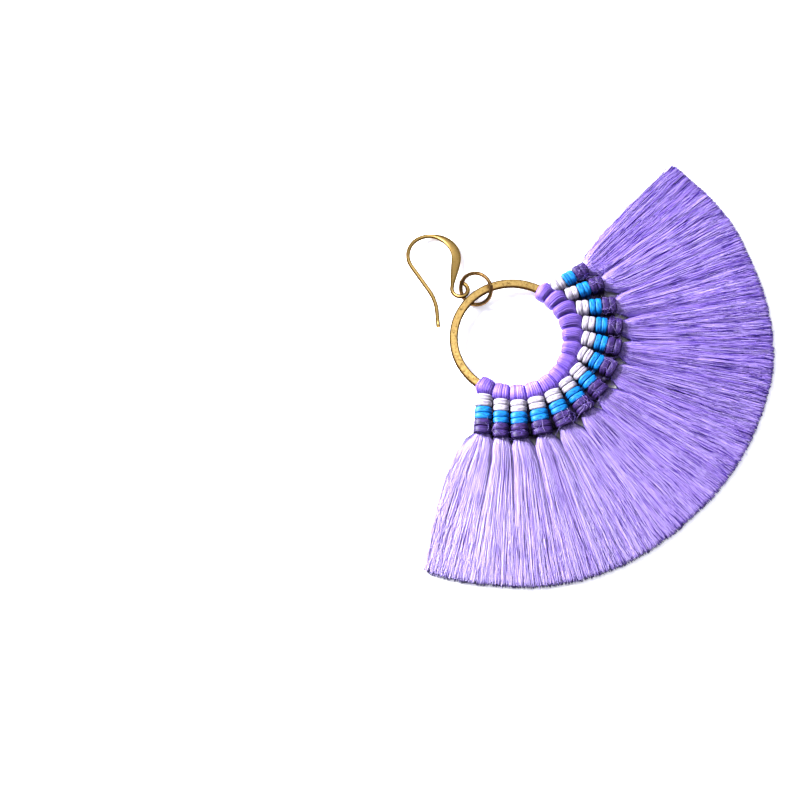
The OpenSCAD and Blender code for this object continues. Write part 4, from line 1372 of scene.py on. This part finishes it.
def hook_line():
    """Places on the wire's middle, headings, and the share of the swell's length."""
    loop_start = 180 - LEAN
    up = np.array([math.sin(math.radians(LEAN)), math.cos(math.radians(LEAN))])
    foot = LOOP_R * radial(loop_start)
    top = foot + STEM * up
    arch = top - ARCH_R * np.array([up[1], -up[0]])
    tail_top = arch + ARCH_R * radial(ARCH_END)
    tail_way = ARCH_END + 90
    tip_way = tail_way - BEND_TURN
    bend_top = tail_top + TAIL * radial(tail_way)
    bend = bend_top - BEND_R * crosswise(radial(tail_way))
    tip_top = bend + BEND_R * crosswise(radial(tip_way))
    swell_arc = math.radians(SWELL_START + LEAN) * ARCH_R
    swell = swell_arc + SWELL_ON_STEM * STEM
    # The free end from its tip, the bend, and the straight up to the arch
    line = [(tip_top + TIP * s * radial(tip_way), tip_way - 180, 0) for s in (1.0, 0.985, 0.6, 0.2)]
    for a in np.linspace(tip_way - 270, tail_way - 270, 9):
        line.append((bend + BEND_R * radial(a), a + 90, 0))
    for s in (0.3, 0.7):
        line.append((bend_top + (tail_top - bend_top) * s, tail_way - 180, 0))
    # The arch, the stem and the loop
    for a in np.arange(ARCH_END, -7, -4.5):
        share = max(0, SWELL_START - a) * math.radians(1) * ARCH_R / swell
        line.append((arch + ARCH_R * radial(a), a - 90, share))
    for s in np.linspace(0.02, 0.98, 22):
        line.append((top - STEM * s * up, -90 - LEAN, (swell_arc + s * STEM) / swell))
    for a in np.arange(2, 281, 6):
        line.append((LOOP_R * radial(loop_start + a), loop_start + a + 90, 1))
    return line


print("places on the hook's wire:", len(hook_line()))

# %% [markdown]
# The hook's wire
#
# The wire is round at both ends and flat on the swell, so its section changes
# all the way. A bevelled curve keeps one section, so the rings are worked out
# here, and each point stores how far it lies towards the wire's side, which the
# brass reads as where its dark reflection is painted.


# %% Hook
def add_hook(sides=20):
    """The wire, round at its ends and flat on its swell, with numbers for its sides."""
    line = hook_line()
    angle = np.arange(sides) * 2 * np.pi / sides
    rings, rims = [], []
    for n, (place, way, share) in enumerate(line):
        swell = math.sin(math.pi * min(1.0, share) ** 0.95)
        half_w = WIRE_R + (SWELL_HALF_W - WIRE_R) * swell
        half_t = WIRE_R + (SWELL_HALF_T - WIRE_R) * swell
        power = 1 - 0.3 * swell
        if n in (0, len(line) - 1):
            half_w, half_t = half_w * FILED, half_t * FILED
        left = crosswise(radial(way))
        middle = place + left * OUTWARDS * (half_w - WIRE_R if swell > 0 else 0)
        flat = middle + left * (half_w * boxy(np.cos(angle), power))[:, None]
        rings.append(np.column_stack([flat, half_t * boxy(np.sin(angle), power)]))
        # How far each point lies towards the wire's side, where a dark reflection is painted
        rims.append(np.abs(np.cos(angle)) ** (1 + 2 * swell))
    points = np.concatenate(rings)
    points = points @ np.array(HOOK_TURN).T + np.array(LOOP_PLACE)
    piece = add_piece("ear_hook_wire", points, tube_faces(len(line), sides), hook_brass)
    give_numbers(piece, "rim", np.concatenate(rims))
    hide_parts("ear_hook")
    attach(piece, "root")
    return piece


hook = add_hook()
print("hook triangles:", triangles(hook))

# %% [markdown]
# The table
#
# The photograph was taken on a white table that is overexposed, so hardly a
# shadow shows on it. A plain white plane would keep grey shadows, and a glowing
# one would light the thin threads from below. So the table glows round the
# earring and inside the hoop, and has painted shade under the knots, where the
# gaps between the bundles are dark in the photograph.

# %% Table
TABLE_WHITE = (0.93, 0.93, 0.95, 1)
TABLE_GLOW = (0.47, 0.47, 0.54, 1)
KNOT_SHADE = (0.10, 0.07, 0.17, 1)
BLACK = (0, 0, 0, 1)
# Distances from the hoop's middle over which the glow ends and starts, in millimetres
GLOW_ENDS, GLOW_STARTS = (13.0, 16.0), (48.0, 56.0)
# The same for the shade under the knots
SHADE_STARTS, SHADE_ENDS = (15.5, 16.5), (24.5, 26.5)
# Towards the ear hook everything glows, and the shade is only on the other side
GLOW_UPWARD, SHADE_DOWNWARD = (4.0, 12.0), (-6.0, -7.5)
TABLE_HALF = 900.0


def make_table():
    """White that glows where no shadow may show, with painted shade under the knots."""
    material, w, shader = new_material("white_table")
    flat = from_hoop_middle(w)
    reach = length_of(w, flat)
    upward = w.add("ShaderNodeSeparateXYZ", {0: flat}).outputs[1]

    def over(value, limits, start=0.0, end=1.0):
        """A ramp between two limits in millimetres."""
        return w.remap(value, limits[0] * MM, limits[1] * MM, start, end)

    glow = w.sum("MAXIMUM", over(reach, GLOW_ENDS, 1.0, 0.0), over(reach, GLOW_STARTS))
    glow = w.sum("MAXIMUM", glow, over(upward, GLOW_UPWARD))
    shade = w.sum("MULTIPLY", over(reach, SHADE_STARTS), over(reach, SHADE_ENDS, 1.0, 0.0))
    shade = w.sum("MULTIPLY", shade, over(upward, SHADE_DOWNWARD))
    w.put(shader.inputs["Base Color"], w.blend(shade, TABLE_WHITE, KNOT_SHADE))
    w.put(shader.inputs["Emission Color"], w.blend(glow, BLACK, TABLE_GLOW))
    shader.inputs["Emission Strength"].default_value = 1.0
    shader.inputs["Roughness"].default_value = 0.7
    return material


corners = np.array([(-1, -1, 0), (1, -1, 0), (1, 1, 0), (-1, 1, 0)])
floor = add_piece("table", TABLE_HALF * corners, [(0, 1, 2, 3)], make_table())
print("table, mm:", 2 * TABLE_HALF, "wide")

# %% [markdown]
# The light
#
# A low lamp from the side of the ear hook gives the silk its sheen, and a wide
# one overhead fills in. The brass would burn out in the low lamp. Making the
# metal darker instead would dull its reflections everywhere, so light linking
# leaves the brass out of the low lamp and gives it a weaker one above.


# %% Light
def add_lamp(name, place, size, power, brass=None):
    """An area lamp aimed at the earring. It may leave the brass out, or light only the brass."""
    data = bpy.data.lights.new(name, "AREA")
    data.size, data.energy = size, power
    lamp = bpy.data.objects.new(name, data)
    lamp.location = place
    lamp.rotation_mode = "QUATERNION"
    lamp.rotation_quaternion = (-Vector(place)).to_track_quat("-Z", "Y")
    bpy.context.collection.objects.link(lamp)
    if brass is not None:
        linked = bpy.data.collections.new(name + "_brass")
        for n, piece in enumerate((nodes["hoop_ring"], nodes["jump_ring"], hook)):
            linked.objects.link(piece)
            linked.collection_objects[n].light_linking.link_state = brass
        lamp.light_linking.receiver_collection = linked
    return lamp


# Places and sizes in metres, power in watts
lamps = [
    add_lamp("softbox", (0.1, 0.06, 0.7), 0.9, 2.8),
    add_lamp("key", (0.014, 0.75, 0.395), 0.35, 46.0, "EXCLUDE"),
    add_lamp("overhead_on_brass", (-0.02, 0.1, 0.72), 0.35, 4.0, "INCLUDE"),
]
world = bpy.data.worlds.new("white_tent")
world.use_nodes = True
background = world.node_tree.nodes["Background"].inputs
background["Color"].default_value = (1.0, 1.0, 1.0, 1)
background["Strength"].default_value = 0.1
bpy.context.scene.world = world
print("lamps:", [lamp.name for lamp in lamps])
